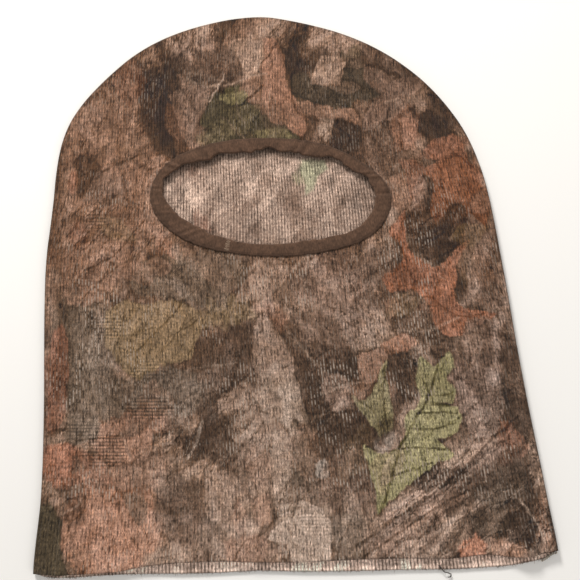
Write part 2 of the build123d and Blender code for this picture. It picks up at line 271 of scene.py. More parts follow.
# Broad pieces with drawn edges: ink, edge softness mm, opacity, how much bark shows, outline.
SHAPES = rows("""
umber .4 .83 .5 -87,124 -80,126 -75,112 -71,102 -64,88 -61,76 -73,73 -81,83 -87,95 -89,108
taupe .4 .72 .8 -74,111 -59,117 -48,113 -52,100 -56,90 -60,79 -67,94 -71,104
umber2 .4 .77 .5 -58,136 -41,140 -35,136 -32,129 -31,119 -43,117 -50,117 -56,125
umber .32 .77 .5 -73,131 -64,134 -58,125 -52,117 -59,119 -69,124
sand .28 .99 .2 -37,143 -19,144 -18,134 -20,128 -24,123 -31,126 -33,134
tan .56 .83 .4 -30,119 -18,122 -17,100 -26,103 -34,109
pine .4 .99 .3 -45,113 -32,111 -27,107 -16,98 -5,92 2,82 -19,80 -35,81 -43,92 -54,92 -50,102
fern .32 .77 .3 -44,111 -32,113 -27,110 -34,105 -42,107
fern .4 .66 .3 -24,90 -7,91 -3,84 -18,81
orange .32 .99 .3 -19,145 -12,144 -7,134 -6,121 0,108 6,94 2,86 -6,93 -14,94 -18,107 -18,132
umber .4 .83 .4 -10,140 -2,138 5,131 2,123 -5,122 -7,133
umber .4 .77 .5 9,136 15,139 19,135 11,126 5,117 -2,118 2,128
sand .24 1 .2 15,134 27,132 24,117 10,121
slate3 .32 1 .3 28,133 40,130 39,120 50,111 36,107 18,104 7,106 -3,116 2,124 14,117 25,117
clay .28 .83 .3 0,108 19,103 32,103 38,93 22,97 7,99
umber .4 .99 .4 22,97 36,92 35,79 22,76 21,88
taupe .48 .77 .8 40,129 58,119 62,108 52,98 48,110 39,120
orange2 .64 .88 .3 60,97 69,95 67,82 61,79
umber .4 .94 .4 70,94 76,103 84,94 90,85 80,85 72,87
rust2 .4 .94 .5 72,79 79,85 91,86 96,71 81,72
rust .48 1 .5 81,72 96,73 104,52 107,33 100,32 95,45 87,47 83,41 78,38 75,43 78,54 78,60
 72,66 76,71
clay .4 .83 .4 52,62 62,65 64,52 61,42 54,47
rust3 .4 .72 .5 58,73 72,70 73,61 66,48 62,64
umber .4 .83 .3 72,64 78,60 78,53 75,44 78,36 83,41 87,47 93,47 96,42 96,30 89,22 79,13 72,16
 64,22 62,33 63,42 72,44 72,54
taupe2 .32 .55 .8 66,57 72,64 73,46 66,43
taupe .48 .94 .8 97,42 106,33 110,17 113,4 109,-10 97,-11 89,-8 90,4 92,21
umber .48 .77 .4 92,20 96,16 94,-2 89,-9 89,3
umber .48 .72 .4 106,12 110,5 107,-10 103,-9 105,3
rust5 .24 1 .3 62,43 56,38 52,30 58,22 58,14 49,8 52,-2 60,-1 67,-2 74,-10 77,-23 88,-27
 96,-24 111,-14 96,-13 89,-8 88,-2 90,4 89,13 97,28 81,13 73,13 64,20 62,30
rust3 .32 .66 .4 50,7 67,13 84,9 81,3 67,1 58,-2
umber .48 .68 .4 46,5 53,-8 63,-9 69,-9 76,-20 73,-30 62,-26 52,-20 47,-8
clay .32 .72 .4 48,-8 55,-5 58,-11 52,-18
orange3 .4 .66 .4 46,-33 58,-26 67,-31 58,-36 48,-38
taupe2 .56 .77 .8 94,-19 110,-18 116,-40 112,-53 100,-47 92,-32
umber2 .56 .88 .5 110,-24 117,-22 123,-47 129,-78 122,-84 116,-61
taupe4 .48 .44 .8 88,-50 98,-43 109,-47 114,-64 110,-77 101,-83 92,-76 89,-64
rust3 .48 .66 .5 111,-73 121,-78 126,-90 118,-92
slate .64 .88 .7 -126,-12 -116,-14 -107,-30 -104,-42 -94,-57 -95,-70 -108,-74 -121,-82
 -124,-65 -127,-38
slate .56 .88 .7 -91,7 -78,18 -62,15 -52,21 -38,13 -38,-11 -50,-14 -62,-6 -81,-6 -92,-2
clay .48 .79 .4 -131,19 -111,27 -92,27 -95,13 -108,-8 -127,-8
olive .32 .99 .3 -106,-14 -95,-8 -83,-10 -62,-8 -51,-21 -55,-31 -59,-41 -74,-43 -82,-52
 -92,-47 -100,-40 -105,-30
slate2 .48 .94 .7 -81,-47 -59,-46 -54,-53 -62,-62 -78,-61 -88,-68 -92,-60
umber2 .56 .68 .4 -18,-24 -34,-33 -50,-56 -55,-71 -44,-70 -29,-53 -16,-45 -6,-35
tan2 .48 .77 .8 -44,-62 -24,-50 -15,-53 -18,-73 -30,-87 -40,-75
rust3 .48 .94 .7 -134,-24 -127,-22 -125,-46 -127,-73 -136,-77
umber2 .48 .55 .4 -34,-26 -20,-19 -6,-30 -8,-47 -18,-57 -28,-49
sand2 .28 .51 .7 -18,-47 -10,-42 -3,-47 2,-54 4,-63 8,-73 3,-75 -1,-73 -4,-78 -10,-73
 -17,-75 -20,-60
tan2 .4 .61 .8 -24,-22 -18,-14 -13,-20 -9,-26 -4,-35 -1,-47 -6,-53 -15,-51 -21,-54 -24,-36
umber .48 .66 .4 12,-33 33,-35 56,-36 61,-51 56,-70 46,-86 29,-87 15,-77 9,-60
taupe2 .4 .66 .8 16,-47 27,-50 30,-64 22,-69 15,-60
clay2 .4 .77 .4 33,-38 49,-35 48,-47 38,-53
umber .24 .77 .4 -52,-72 -57,-87 -59,-94 -48,-95 -38,-88 -34,-75 -40,-69
umber2 .4 .42 .4 -40,-87 -28,-84 -24,-96 -30,-105 -40,-99
slate2 .4 .44 .8 -6,-100 9,-90 12,-109 9,-123 -3,-123 -8,-112
ash .32 .72 .5 10,-96 15,-94 19,-102 12,-105
tan2 .4 .55 .8 -24,-68 -19,-73 -17,-90 -16,-109 -20,-123 -24,-115 -27,-89
sand2 .4 .33 .8 -12,-78 -4,-80 -2,-94 -5,-115 -10,-122 -14,-100
tan2 .4 .46 .8 2,-109 9,-112 10,-123 2,-125
tan2 .4 .44 .8 -46,-116 -39,-114 -34,-132 -38,-149 -45,-144
sand2 .4 .31 .8 24,-116 30,-111 38,-127 36,-146 28,-149
umber2 .48 .66 .5 30,13 41,19 51,27 55,29 58,21 58,13 50,8 37,5
slate .32 .88 .7 -125,-69 -108,-72 -107,-82 -125,-85
orange .28 .94 .3 -107,-76 -82,-71 -78,-78 -82,-94 -99,-98 -108,-87
slate2 .28 .44 .5 -99,-82 -86,-75 -83,-79 -90,-83
rust4 .64 .94 .4 -136,-88 -123,-85 -120,-94 -123,-110 -135,-105
umber2 .4 .66 .3 -122,-92 -112,-90 -113,-98 -121,-103
clay2 .48 .83 .3 -114,-100 -96,-98 -76,-99 -78,-106 -97,-112 -114,-111
orange3 .72 .73 .5 -121,-112 -98,-110 -95,-127 -82,-149 -95,-155 -114,-156 -125,-144 -126,-131
slate2 .4 .66 .4 -94,-112 -81,-116 -81,-127 -87,-128
pine2 .2 1 .2 -138,-118 -132,-122 -127,-132 -126,-146 -123,-156 -143,-157 -140,-138
umber2 .56 .44 .5 -76,-110 -62,-105 -50,-120 -54,-138 -72,-136 -76,-123
tan2 .48 .55 .7 -49,-100 -32,-104 -34,-123 -48,-127
slate2 .56 .33 .8 -53,-127 -38,-125 -36,-142 -52,-144
clay2 .4 .77 .4 -38,-138 -17,-135 -18,-149 -35,-150
sand2 .2 1 .3 -16,-136 -8,-128 0,-124 15,-125 18,-151 1,-151 -5,-140
clay .32 .77 .4 -24,-116 -15,-114 -13,-127 -21,-130
umber2 .48 .55 .4 -128,-109 -121,-105 -114,-114 -115,-127 -121,-131 -126,-123
slate2 .48 .35 .8 19,-123 30,-125 36,-142 24,-152 19,-142
umber2 .48 .37 .5 18,-90 33,-89 40,-109 33,-123 20,-120 14,-105
tan3 .56 .77 .8 43,-138 67,-123 90,-106 94,-112 73,-130 52,-146
umber .48 .55 .4 78,-116 105,-96 121,-87 119,-100 97,-116 83,-127
umber .4 .5 .4 111,-100 125,-98 132,-127 121,-138 115,-122
clay2 .32 .66 .4 105,-135 121,-141 123,-149 106,-150
rust4 .16 1 .3 87,-145 95,-138 101,-144 98,-148 90,-150
slate2 .48 .55 .7 94,-122 110,-116 114,-129 98,-136
lime .2 1 .2 44,-123 41,-104 36,-87 44,-90 51,-90 58,-84 60,-72 68,-61 66,-51 69,-39 77,-44
 84,-36 87,-44 83,-50 88,-56 86,-63 78,-64 88,-66 90,-75 84,-82 77,-84 82,-88 86,-92 73,-98
 61,-108 52,-115
lime2 .28 .94 .3 46,-83 38,-71 30,-60 36,-62 41,-58 46,-49 49,-40 50,-53 52,-64 53,-76
umber .4 .55 .3 44,-75 53,-72 58,-79 53,-87 46,-86
""")

# Twigs, then leaf veins: half-width mm, how dark (below 0: how pale), path.
TWIGS = rows("""
.7 .75 -126,-4 -117,9 -101,18 -92,29 -85,38
.6 .6 -78,29 -89,18 -101,10 -116,-4 -124,-20
.6 .55 -63,13 -60,1 -67,-14 -77,-25 -88,-36
.5 .5 -45,-8 -60,-20 -73,-35
.6 -.7 -49,107 -43,117 -41,123
.8 .8 -18,117 -24,111 -31,105
.8 -.35 -62,121 -54,116 -40,116 -27,121 -17,123
.9 .6 -3,120 -1,105 5,98 19,94 30,87
.7 .4 2,119 19,109 28,107
.7 .7 54,110 52,94 56,79 54,64
.8 -.4 58,109 51,106
.6 .5 35,54 49,46 52,30
.9 .8 -135,-80 -125,-78 -124,-80
.6 .5 -136,-89 -117,-84 -95,-82
.8 .6 -127,-105 -122,-116 -120,-125 -123,-134
.7 .55 -90,-97 -78,-87 -68,-78 -64,-69
.6 .5 -84,-105 -68,-102 -54,-96
.9 -.6 -59,-94 -54,-84 -51,-74
.6 .4 -36,-47 -24,-24 -18,-14
.6 .6 2,-14 12,-30 24,-36
.9 .8 30,-142 52,-127 73,-113 90,-100 107,-83 121,-71
.8 .7 36,-146 62,-129 83,-116 100,-109
.7 .6 41,-132 58,-123 73,-116 87,-106
.7 .6 52,-123 67,-114 83,-100 94,-89
.7 .5 44,-149 67,-141 78,-134
.6 .5 73,-136 94,-123 116,-116
.7 .5 78,-78 94,-68 110,-53 115,-47
.8 -.5 121,-116 130,-129 134,-138
.6 .5 135,-100 126,-127 132,-138
.6 .5 19,-127 29,-114 48,-102
.8 .6 -34,-149 -27,-138 -18,-134 -8,-123 2,-120
.9 -.3 58,-24 73,-24 90,-17
1 .6 56,-8 67,-4 63,-14 54,-20
.8 .6 94,26 82,18 67,16
.5 .3 -112,94 -103,86 -99,76
1.01 1 45,-123 52,-105 56,-89 64,-75 73,-60 78,-43
.72 1 56,-89 67,-88 83,-89
.72 .88 53,-103 63,-100 74,-96
.72 1 55,-90 48,-90 38,-88
.65 .81 62,-78 73,-78 87,-75
.65 .81 66,-70 74,-69 88,-69
.65 .81 72,-60 78,-60 86,-58
.58 .68 63,-75 61,-71 61,-68
.58 .68 76,-49 81,-44 84,-38
.65 .81 49,-82 43,-69 34,-62
.65 .81 50,-78 48,-62 49,-44
1.3 1 75,-64 84,-65
1.16 .81 78,-85 84,-82
.6 .6 108,-14 90,-16 76,-6 64,7 55,19
.5 .6 76,-6 62,-4 52,3
.5 .5 76,-6 80,5 95,26
.5 .5 67,4 61,1 53,2
.4 .5 78,-8 80,-18 83,-24
.5 .5 64,7 58,29 61,40
.6 .75 -61,-7 -69,-16 -78,-25 -86,-34
.4 .5 -61,-7 -67,-5 -70,-4
.4 .55 -61,-7 -59,-14 -56,-30 -60,-40
.4 .5 -69,-16 -70,-27 -74,-36
.4 .5 -78,-25 -81,-36 -82,-45
.4 .4 -78,-25 -90,-27 -100,-32
.4 .4 -69,-16 -81,-14 -92,-13
.45 .5 -61,-7 -56,-2 -52,1
.4 .4 -61,-7 -63,-1 -64,3
.35 .35 -15,138 -12,122 -7,106 0,92
.6 .75 -132,-108 -124,-115 -118,-116 -116,-123 -121,-127 -124,-124
.5 .6 -117,-127 -114,-120 -115,-114
.5 .5 -123,-113 -122,-127 -120,-138
.8 .8 -136,-82 -127,-79 -125,-75
.6 .7 -125,-84 -108,-83 -95,-82
""")

# Long leaves: kind, root, tip, half-width, lobes, ink, vein strength, opacity, seed.
LEAVES = [
    ("blade", (8, 117), (30, 130), 4.9, 1.0, "sand", 0.20, 0.60, 13),
    ("blade", (2, -116), (19, -149), 10.8, 1.0, "sand2", 0.25, 0.60, 15),
    ("blade", (-34, -8), (2, 13), 7.6, 1.0, "tan2", 0.30, 0.45, 17),
    ("oak", (-21, 105), (-49, 79), 8.6, 2.5, "moss", 0.50, 0.55, 19),
    ("blade", (-96, 73), (-78, 35), 8.1, 1.0, "clay", 0.25, 0.40, 21),
    ("oak", (73, 122), (38, 90), 8.6, 2.2, "taupe2", 0.35, 0.50, 23)]
# Leaves of five pointed lobes: centre, radius, turn in degrees, ink, opacity, seed.
STARS = [
    ((-43, -17), 16.2, 60, "olive2", 0.35, 33),
    ((-14, -149), 16.2, 100, "tan3", 0.35, 35),
    ((-108, -100), 18.4, 200, "rust4", 0.35, 37)]
LITTER_INKS = ["tan2", "clay", "taupe2", "sand", "olive2", "umber2", "tan", "clay2", "umber",
               "slate", "rust3"]

# Where the knit is pulled so its courses show as bars: centre x y, half-sizes x y, strength.
BAR_PLACES = rows("""
-80 -67 17 8 1
-104 -90 15 11 .9
-80 -46 15 6 .6
-116 -78 12 5 .6
-103 -22 10 9 .6
-112 38 8 7 .6
10 -128 13 7 .35
""")
# The back panel's inner face near the opening: a pale leaf's outline, and dark blots as
# centre x y, half-sizes x y, strength.
SHOW_LEAF = points("3,73 16,73 19,68 12,63 10,55 6,53 5,62 2,67")
SHOW_BLOTS = rows("""
1.5 66 1.6 9 .6
-6 68 2.5 7 .35
13 70 5 .9 .6
25 68 5 4 .5
-24 66 3 7 .35
20 60 2 6 .35
34 50 3 8 .3
-44 54 3 6 .3
-30 40 4 6 .25
-12 45 3 9 .28
8 38 3 6 .25
11 62 .5 5 .5
""")


# ------------------------------------------------------------------ fields and curves
def ramp(start, end, value):
    """Smooth rise from 0 at start to 1 at end."""
    t = np.clip((value - start) / (end - start), 0, 1)
    return t * t * (3 - 2 * t)


def hashed(ix, iy, seed):
    """A number from 0 to 1 for each whole-number cell."""
    h = (ix.astype(np.int64) * 374761393 + iy.astype(np.int64) * 668265263
         + seed * 974634777) & 0xFFFFFFFF
    h = ((h ^ (h >> 13)) * 1274126177) & 0xFFFFFFFF
    h = ((h ^ (h >> 16)) * 2246822519) & 0xFFFFFFFF
    return ((h ^ (h >> 15)) & 0xFFFFFF) / float(0x1000000)


def noise(x, y, seed):
    """Smooth value noise, about -1 to 1, one cell per unit."""
    ix, iy = np.floor(x), np.floor(y)
    fx, fy = (t * t * t * (t * (6 * t - 15) + 10) for t in (x - ix, y - iy))
    low, low_next = hashed(ix, iy, seed), hashed(ix + 1, iy, seed)
    high, high_next = hashed(ix, iy + 1, seed), hashed(ix + 1, iy + 1, seed)
    return 2 * ((low + (low_next - low) * fx) * (1 - fy)
                + (high + (high_next - high) * fx) * fy) - 1


def fbm(x, y, seed, octaves, gain=0.5):
    """Layers of noise, each twice as fine and gain times as strong as the last."""
    out, strength, total = 0.0, 1.0, 0.0
    for i in range(octaves):
        out = out + strength * noise(x * 2 ** i + 17.3 * i, y * 2 ** i - 9.1 * i, seed + 31 * i)
        total += strength
        strength *= gain
    return out / total


def bell(value, width):
    return np.exp(-(value / width) ** 2)


def unit(vectors):
    return vectors / np.linalg.norm(vectors, axis=1)[:, None]


def path_distance(x, y, path):
    """Distance to a polyline, and how far along it, 0 to 1."""
    best, along = np.full(x.shape, 1e9), np.zeros(x.shape)
    steps = np.hypot(*np.diff(path, axis=0).T)
    run = np.concatenate([[0], np.cumsum(steps)])
    for i in range(len(path) - 1):
        start, leg = path[i], path[i + 1] - path[i]
        t = np.clip(((x - start[0]) * leg[0] + (y - start[1]) * leg[1]) / (leg @ leg), 0, 1)
        reach = np.hypot(x - start[0] - t * leg[0], y - start[1] - t * leg[1])
        closer = reach < best
        best = np.where(closer, reach, best)
        along = np.where(closer, (run[i] + t * steps[i]) / run[-1], along)
    return best, along


def polygon_depth(x, y, corners):
    """Distance to a closed outline, positive inside."""
    ring = np.vstack([corners, corners[:1]])
    best = np.full(len(x), 1e9)
    inside = np.zeros(len(x), bool)
    for (ax, ay), (bx, by) in zip(ring[:-1], ring[1:]):
        dx, dy = bx - ax, by - ay
        t = np.clip(((x - ax) * dx + (y - ay) * dy) / (dx * dx + dy * dy + 1e-9), 0, 1)
        best = np.minimum(best, np.hypot(x - ax - t * dx, y - ay - t * dy))
        rise = dy if abs(dy) > 1e-9 else 1e-9
        inside ^= ((ay > y) != (by > y)) & (x < dx * (y - ay) / rise + ax)
    return np.where(inside, best, -best)


def catmull(stations, per, closed=False):
    """Smooth curve through stations, per points to a span."""
    p = np.asarray(stations, float)
    if closed:
        guides = np.vstack([p[-1:], p, p[:2]])
    else:
        guides = np.vstack([2 * p[0] - p[1], p, 2 * p[-1] - p[-2]])
    t = np.arange(per) / per
    weights = np.stack([-0.5 * t + t * t - 0.5 * t ** 3, 1 - 2.5 * t * t + 1.5 * t ** 3,
                        0.5 * t + 2 * t * t - 1.5 * t ** 3, -0.5 * t * t + 0.5 * t ** 3], 1)
    curve = np.concatenate([weights @ guides[i:i + 4] for i in range(len(guides) - 3)])
    return curve if closed else np.vstack([curve, p[-1]])


# ------------------------------------------------------------------ the seam line and ribs
SEAM_PER = 14             # curve points between two stations
SEAM_LINE = catmull(SIDE, SEAM_PER)
CROWN = SEAM_LINE[CROWN_LEFT * SEAM_PER:CROWN_RIGHT * SEAM_PER + 1]
LEFT_SIDE = catmull(SIDE[:CROWN_LEFT + 1], 8)             # upwards
RIGHT_SIDE = catmull(SIDE[CROWN_RIGHT:], 8)[::-1]         # upwards
FRONT_HEM_LINE, BACK_HEM_LINE = catmull(FRONT_HEM, 8), catmull(BACK_HEM, 8)


def inward_normals(line):
    steps = np.diff(line, axis=0)
    along = unit(np.vstack([steps[:1], steps[1:] + steps[:-1], steps[-1:]]))
    return np.stack([along[:, 1], -along[:, 0]], 1)


SEAM_IN = inward_normals(SEAM_LINE)
SEAM_RUN = np.concatenate([[0], np.cumsum(np.hypot(*np.diff(SEAM_LINE, axis=0).T))])


def edge_distance(x, y):
    """Distance from the seam line and the nearest seam point's inward normal."""
    place = np.stack([x.ravel(), y.ravel()], 1)
    distance = np.empty(len(place))
    nearest = np.empty(len(place), int)
    chunk = 6000                                  # keeps the distance table small
    for i in range(0, len(place), chunk):
        part = place[i:i + chunk]
        square = ((part[:, None, 0] - SEAM_LINE[None, :, 0]) ** 2
                  + (part[:, None, 1] - SEAM_LINE[None, :, 1]) ** 2)
        nearest[i:i + chunk] = square.argmin(1)
        distance[i:i + chunk] = np.sqrt(square.min(1))
    # close in, where the curve's points are coarse, measured along the normal
    offset, normal = place - SEAM_LINE[nearest], SEAM_IN[nearest]
    along = np.abs(offset[:, 0] * normal[:, 0] + offset[:, 1] * normal[:, 1])
    distance = np.where(distance < 4, along, distance)
    return distance.reshape(x.shape), normal.reshape(x.shape + (2,))


def seam_point(share, inside):
    """Place inside mm in from the seam line at a share of its length."""
    run = np.asarray(share) * SEAM_RUN[-1]
    x, y, nx, ny = (np.interp(run, SEAM_RUN, values) for values in (*SEAM_LINE.T, *SEAM_IN.T))
    length = np.hypot(nx, ny)
    return x + nx / length * inside, y + ny / length * inside


def rib_ends(y):
    """X of the panel's left and right sides at height y, carried on past the side curves."""
    left = np.interp(y, LEFT_SIDE[:, 1], LEFT_SIDE[:, 0])
    right = np.interp(y, RIGHT_SIDE[:, 1], RIGHT_SIDE[:, 0])
    (foot_x, foot), (top_x, top) = LEFT_SIDE[0], LEFT_SIDE[-1]
    left = np.where(y > top, top_x + 0.035 * (y - top), left)
    left = np.where(y < foot, foot_x + 0.03 * (y - foot), left)
    (foot_x, foot), (top_x, top) = RIGHT_SIDE[0], RIGHT_SIDE[-1]
    right = np.where(y > top, top_x - 7.5 * (1 - np.exp(-(y - top) / 34.0)), right)
    right = np.where(y < foot, foot_x - 0.16 * (y - foot), right)
    return left, right


def height_on(curve, across):
    """Y of a curve where it meets the ribs at shares of the panel's width."""
    left, right = rib_ends(curve[:, 1])
    share = (curve[:, 0] - left) / (right - left)
    order = np.argsort(share)
    return np.interp(across, share[order], curve[order, 1])


# ------------------------------------------------------------------ the opening
# Two contours round one centre, as radii at even turns; heights count double.
TURNS = 720


def opening_polar(x, y):
    dx, dy = x - OPENING_CENTRE[0], 2 * (y - OPENING_CENTRE[1])
    return np.arctan2(dy, dx) % (2 * math.pi), np.hypot(dx, dy)


def radius_table(stations):
    turn, radius = opening_polar(*catmull(stations, 12, closed=True).T)
    order = np.argsort(turn)
    turn, radius = turn[order], radius[order]
    return np.interp(np.arange(TURNS) * 2 * math.pi / TURNS,
                     np.concatenate([turn - 2 * math.pi, turn, turn + 2 * math.pi]),
                     np.tile(radius, 3))


FOLD_RADII, EDGE_RADII = radius_table(OPENING_FOLD), radius_table(OPENING_EDGE)


def opening_radii(turn):
    grid = np.arange(TURNS + 1) * 2 * math.pi / TURNS
    return [np.interp(turn, grid, np.append(t, t[0])) for t in (FOLD_RADII, EDGE_RADII)]


def opening_share(x, y):
    """Share of the way from the binding's fold (0) to its outer edge (1), and the turn."""
    turn, radius = opening_polar(x, y)
    fold, edge = opening_radii(turn)
    return (radius - fold) / (edge - fold), turn


def opening_point(turn, share):
    fold, edge = opening_radii(turn)
    radius = fold + share * (edge - fold)
    return (OPENING_CENTRE[0] + radius * np.cos(turn),
            OPENING_CENTRE[1] + radius * np.sin(turn) / 2)


# ------------------------------------------------------------------ how the cloth lies
def pucker(turn):
    """Uneven gathers round the opening, -1 to 1."""
    run = turn * OPENING_RADIUS / 3.2
    return (np.sin(2.3 * run + 2.2 * np.sin(0.9 * run) + 1.1 * np.sin(3 * turn + 1))
            * (0.6 + 0.4 * np.sin(5 * turn + 0.7)))


def scallop(turn):
    """In and out of the fold, as a share of the binding's width; longer waves along the top."""
    top = ramp(-0.25, 0.55, np.sin(turn))
    run = turn * OPENING_RADIUS
    slow = (np.sin(run / 3.3 + 1.1 * np.sin(run / 11.0) + 0.6)
            + 0.5 * np.sin(run / 1.55 + 1.7 * np.sin(run / 7.0)))
    return 0.035 * pucker(turn) + (0.020 + 0.095 * top) * slow


def crease_field(x, y):
    z = np.zeros_like(x)
    for height, width, path in CREASES:
        distance, along = path_distance(x, y, catmull(path, 6))
        z += height * bell(distance, width) * ramp(0, 0.2, along) * ramp(1, 0.8, along)
    return z


def weight_group(ob, name, weights):
    group = ob.vertex_groups.new(name=name)
    for i in np.nonzero(weights > 0.02)[0]:
        group.add([int(i)], float(weights[i]), "REPLACE")


def drape_grid():
    """Pattern places of the simulated front layer, its quads and which places they use."""
    x, y = np.meshgrid(np.arange(-150, 150.1, DRAPE_STEP), np.arange(-161, 161.1, DRAPE_STEP))
    left, right = rib_ends(y)
    across = np.clip((x - left) / (right - left), 0, 1)
    low = height_on(FRONT_HEM_LINE, across.ravel()).reshape(across.shape)
    high = height_on(CROWN, across.ravel()).reshape(across.shape)
    inside = ((across > 0) & (across < 1) & (y > low) & (y < high)
              & (opening_share(x, y)[0] > 0.3))
    index = np.arange(x.size).reshape(x.shape)
    corners = [(slice(None, -1), slice(None, -1)), (slice(None, -1), slice(1, None)),
               (slice(1, None), slice(1, None)), (slice(1, None), slice(None, -1))]
    quads = np.stack([index[c] for c in corners], -1)[np.all([inside[c] for c in corners], 0)]
    used = np.zeros(x.size, bool)
    used[quads.ravel()] = True
    return x, y, quads, used


def spread_heights(grid, known):
    """Carry the nearest height a little way past the cloth's ragged grid edge."""
    for _ in range(4):
        total, count = np.zeros_like(grid), np.zeros_like(grid)
        for step in ((0, 1), (0, -1), (1, 0), (-1, 0)):
            total += np.roll(np.where(known, grid, 0), step, (0, 1))
            count += np.roll(known.astype(float), step, (0, 1))
        fill = (~known) & (count > 0)
        grid[fill] = total[fill] / count[fill]
        known |= fill
    return grid


def drape_cloth():
    """Cloth simulation of the front layer, ten times life size.

    It is sewn down all round the seam, gathered at the opening, a little longer than its
    space, and falls on a flat bed. Gives each grid place's height above the bed in mm.
    """
    scale = 0.01
    grid_x, grid_y, quads, used = drape_grid()
    renumber = np.cumsum(used) - 1
    x, y = grid_x.ravel()[used], grid_y.ravel()[used]
    edge = edge_distance(grid_x, grid_y)[0].ravel()[used]
    share = opening_share(grid_x, grid_y)[0].ravel()[used]
    z = 0.05 + ramp(6.5, 14.0, edge) * (2.0 + 1.6 * fbm(x / 16, y / 24, 901, 3)
                                        + 1.5 * crease_field(x, y))
    mesh = bpy.data.meshes.new("drape")
    mesh.from_pydata((np.stack([x, y, z], 1) * scale).tolist(), [], renumber[quads].tolist())
    ob = bpy.data.objects.new("drape", mesh)
    scene = bpy.context.scene
    scene.collection.objects.link(ob)
    weight_group(ob, "seam", ramp(10.5, 6.5, edge))
    weight_group(ob, "gather", ramp(1.5, 1.0, share))
    modifier = ob.modifiers.new("Cloth", "CLOTH")
    # the negative least shrink gives the body its slack; the gathered edge draws in
    for key, value in dict(
            quality=6, mass=0.22, tension_stiffness=14, compression_stiffness=14,
            shear_stiffness=5, bending_stiffness=2.2, tension_damping=6, bending_damping=0.6,
            air_damping=1.5, vertex_group_mass="seam", pin_stiffness=1.0,
            vertex_group_shrink="gather", shrink_min=-0.012, shrink_max=0.04).items():
        setattr(modifier.settings, key, value)
    modifier.collision_settings.use_collision = True
    modifier.collision_settings.collision_quality = 3
    modifier.collision_settings.distance_min = 0.004
    bed_mesh = bpy.data.meshes.new("bed")
    bed_mesh.from_pydata([(x, y, -0.008) for x, y in ((-2, -2), (2, -2), (2, 2), (-2, 2))],
                         [], [(0, 1, 2, 3)])
    bed = bpy.data.objects.new("bed", bed_mesh)
    scene.collection.objects.link(bed)
    bed.modifiers.new("Collision", "COLLISION")
    bed.collision.thickness_outer = 0.004
    bed.collision.cloth_friction = 12
    start = scene.frame_current
    modifier.point_cache.frame_start = 1
    modifier.point_cache.frame_end = 60
    for i in range(1, 56):
        scene.frame_set(i)
    evaluated = ob.evaluated_get(bpy.context.evaluated_depsgraph_get())
    result = evaluated.to_mesh()
    places = np.empty(len(result.vertices) * 3)
    result.vertices.foreach_get("co", places)
    height = places.reshape(-1, 3)[:, 2] / scale
    evaluated.to_mesh_clear()
    scene.frame_set(start)
    for old, old_mesh in ((ob, mesh), (bed, bed_mesh)):
        bpy.data.objects.remove(old, do_unlink=True)
        bpy.data.meshes.remove(old_mesh)
    height = height - np.percentile(height, 4)
    # if the simulation has blown up, the mask does without it
    if not (np.isfinite(height).all() and np.ptp(height) < 60):
        return None
    grid = np.zeros(grid_x.size)
    grid[used] = np.clip(height, -0.3, 3.0)
    return spread_heights(grid.reshape(grid_x.shape), used.reshape(grid_x.shape))


DRAPE = drape_cloth()


def spline_weights(t):
    return [(1 - t) ** 3 / 6, (3 * t ** 3 - 6 * t * t + 4) / 6,
            (-3 * t ** 3 + 3 * t * t + 3 * t + 1) / 6, t ** 3 / 6]


def drape(x, y):
    """Height of the simulated cloth, smooth between its points."""
    if DRAPE is None:
        return np.zeros_like(x)
    column = np.clip((x + 150) / DRAPE_STEP, 1, DRAPE.shape[1] - 3.001)
    row = np.clip((y + 161) / DRAPE_STEP, 1, DRAPE.shape[0] - 3.001)
    ix, iy = np.floor(column).astype(int), np.floor(row).astype(int)
    across, up = spline_weights(column - ix), spline_weights(row - iy)
    out = 0.0
    for j in range(4):
        for i in range(4):
            out = out + across[i] * up[j] * DRAPE[iy + j - 1, ix + i - 1]
    return out


def lift_front(x, y, edge=40.0):
    """Rise of the front layer from its flat place, edge mm inside the seam line."""
    share, turn = opening_share(x, y)
    away = np.maximum(share - 1, 0) * 8.0         # mm outside the binding
    near = bell(away, 9.0)
    body = ramp(6.3, 13.0, edge)
    z = -SAG * body * (1 - 0.45 * near)
    wave = 0.30 * fbm(x / 46 + 0.3 * fbm(x / 30, y / 30, 5, 2), y / 62, 11, 3)
    wave += 0.16 * fbm(x / 13, y / 26, 23, 2)
    z += wave * body * (1 - 0.6 * near)
    z += DRAPE_GAIN * drape(x, y) * body * (1 - 0.5 * near)
    z += crease_field(x, y) * body
    gather = 0.22 + 0.16 * np.sin(turn)           # strongest along the top
    return z + gather * pucker(turn) * np.exp(-(away / 4.5)) * ramp(-0.6, 0.4, share)


def lift_back(x, y, edge):
    """Rise of the back layer: broad waves, and soft drags where the opening shows it."""
    share, _ = opening_share(x, y)
    wave = 0.28 + 0.28 * fbm(x / 26 + y / 40, y / 34 - x / 60, 41, 3)
    drags = 0.5 + 0.5 * np.sin((x * 0.55 + y * 0.83) / 3.6 + 2.0 * fbm(x / 20, y / 20, 43, 2))
    return (np.maximum(wave, 0) + 0.35 * ramp(1.2, 0.4, share) * drags) * ramp(5.0, 12.0, edge)


# ------------------------------------------------------------------ painting
def mix(colour, over, cover):
    """Lay one colour over another."""
    return colour + (over - colour) * cover[:, None]


def scaled(colour, factor):
    return colour * factor[:, None]


def lightness(colour):
    return np.maximum(colour.mean(-1), 0.004)


def within(x, y, cx, cy, reach):
    """Indices of the places in a square round a centre."""
    return np.nonzero((np.abs(x - cx) < reach) & (np.abs(y - cy) < reach))[0]


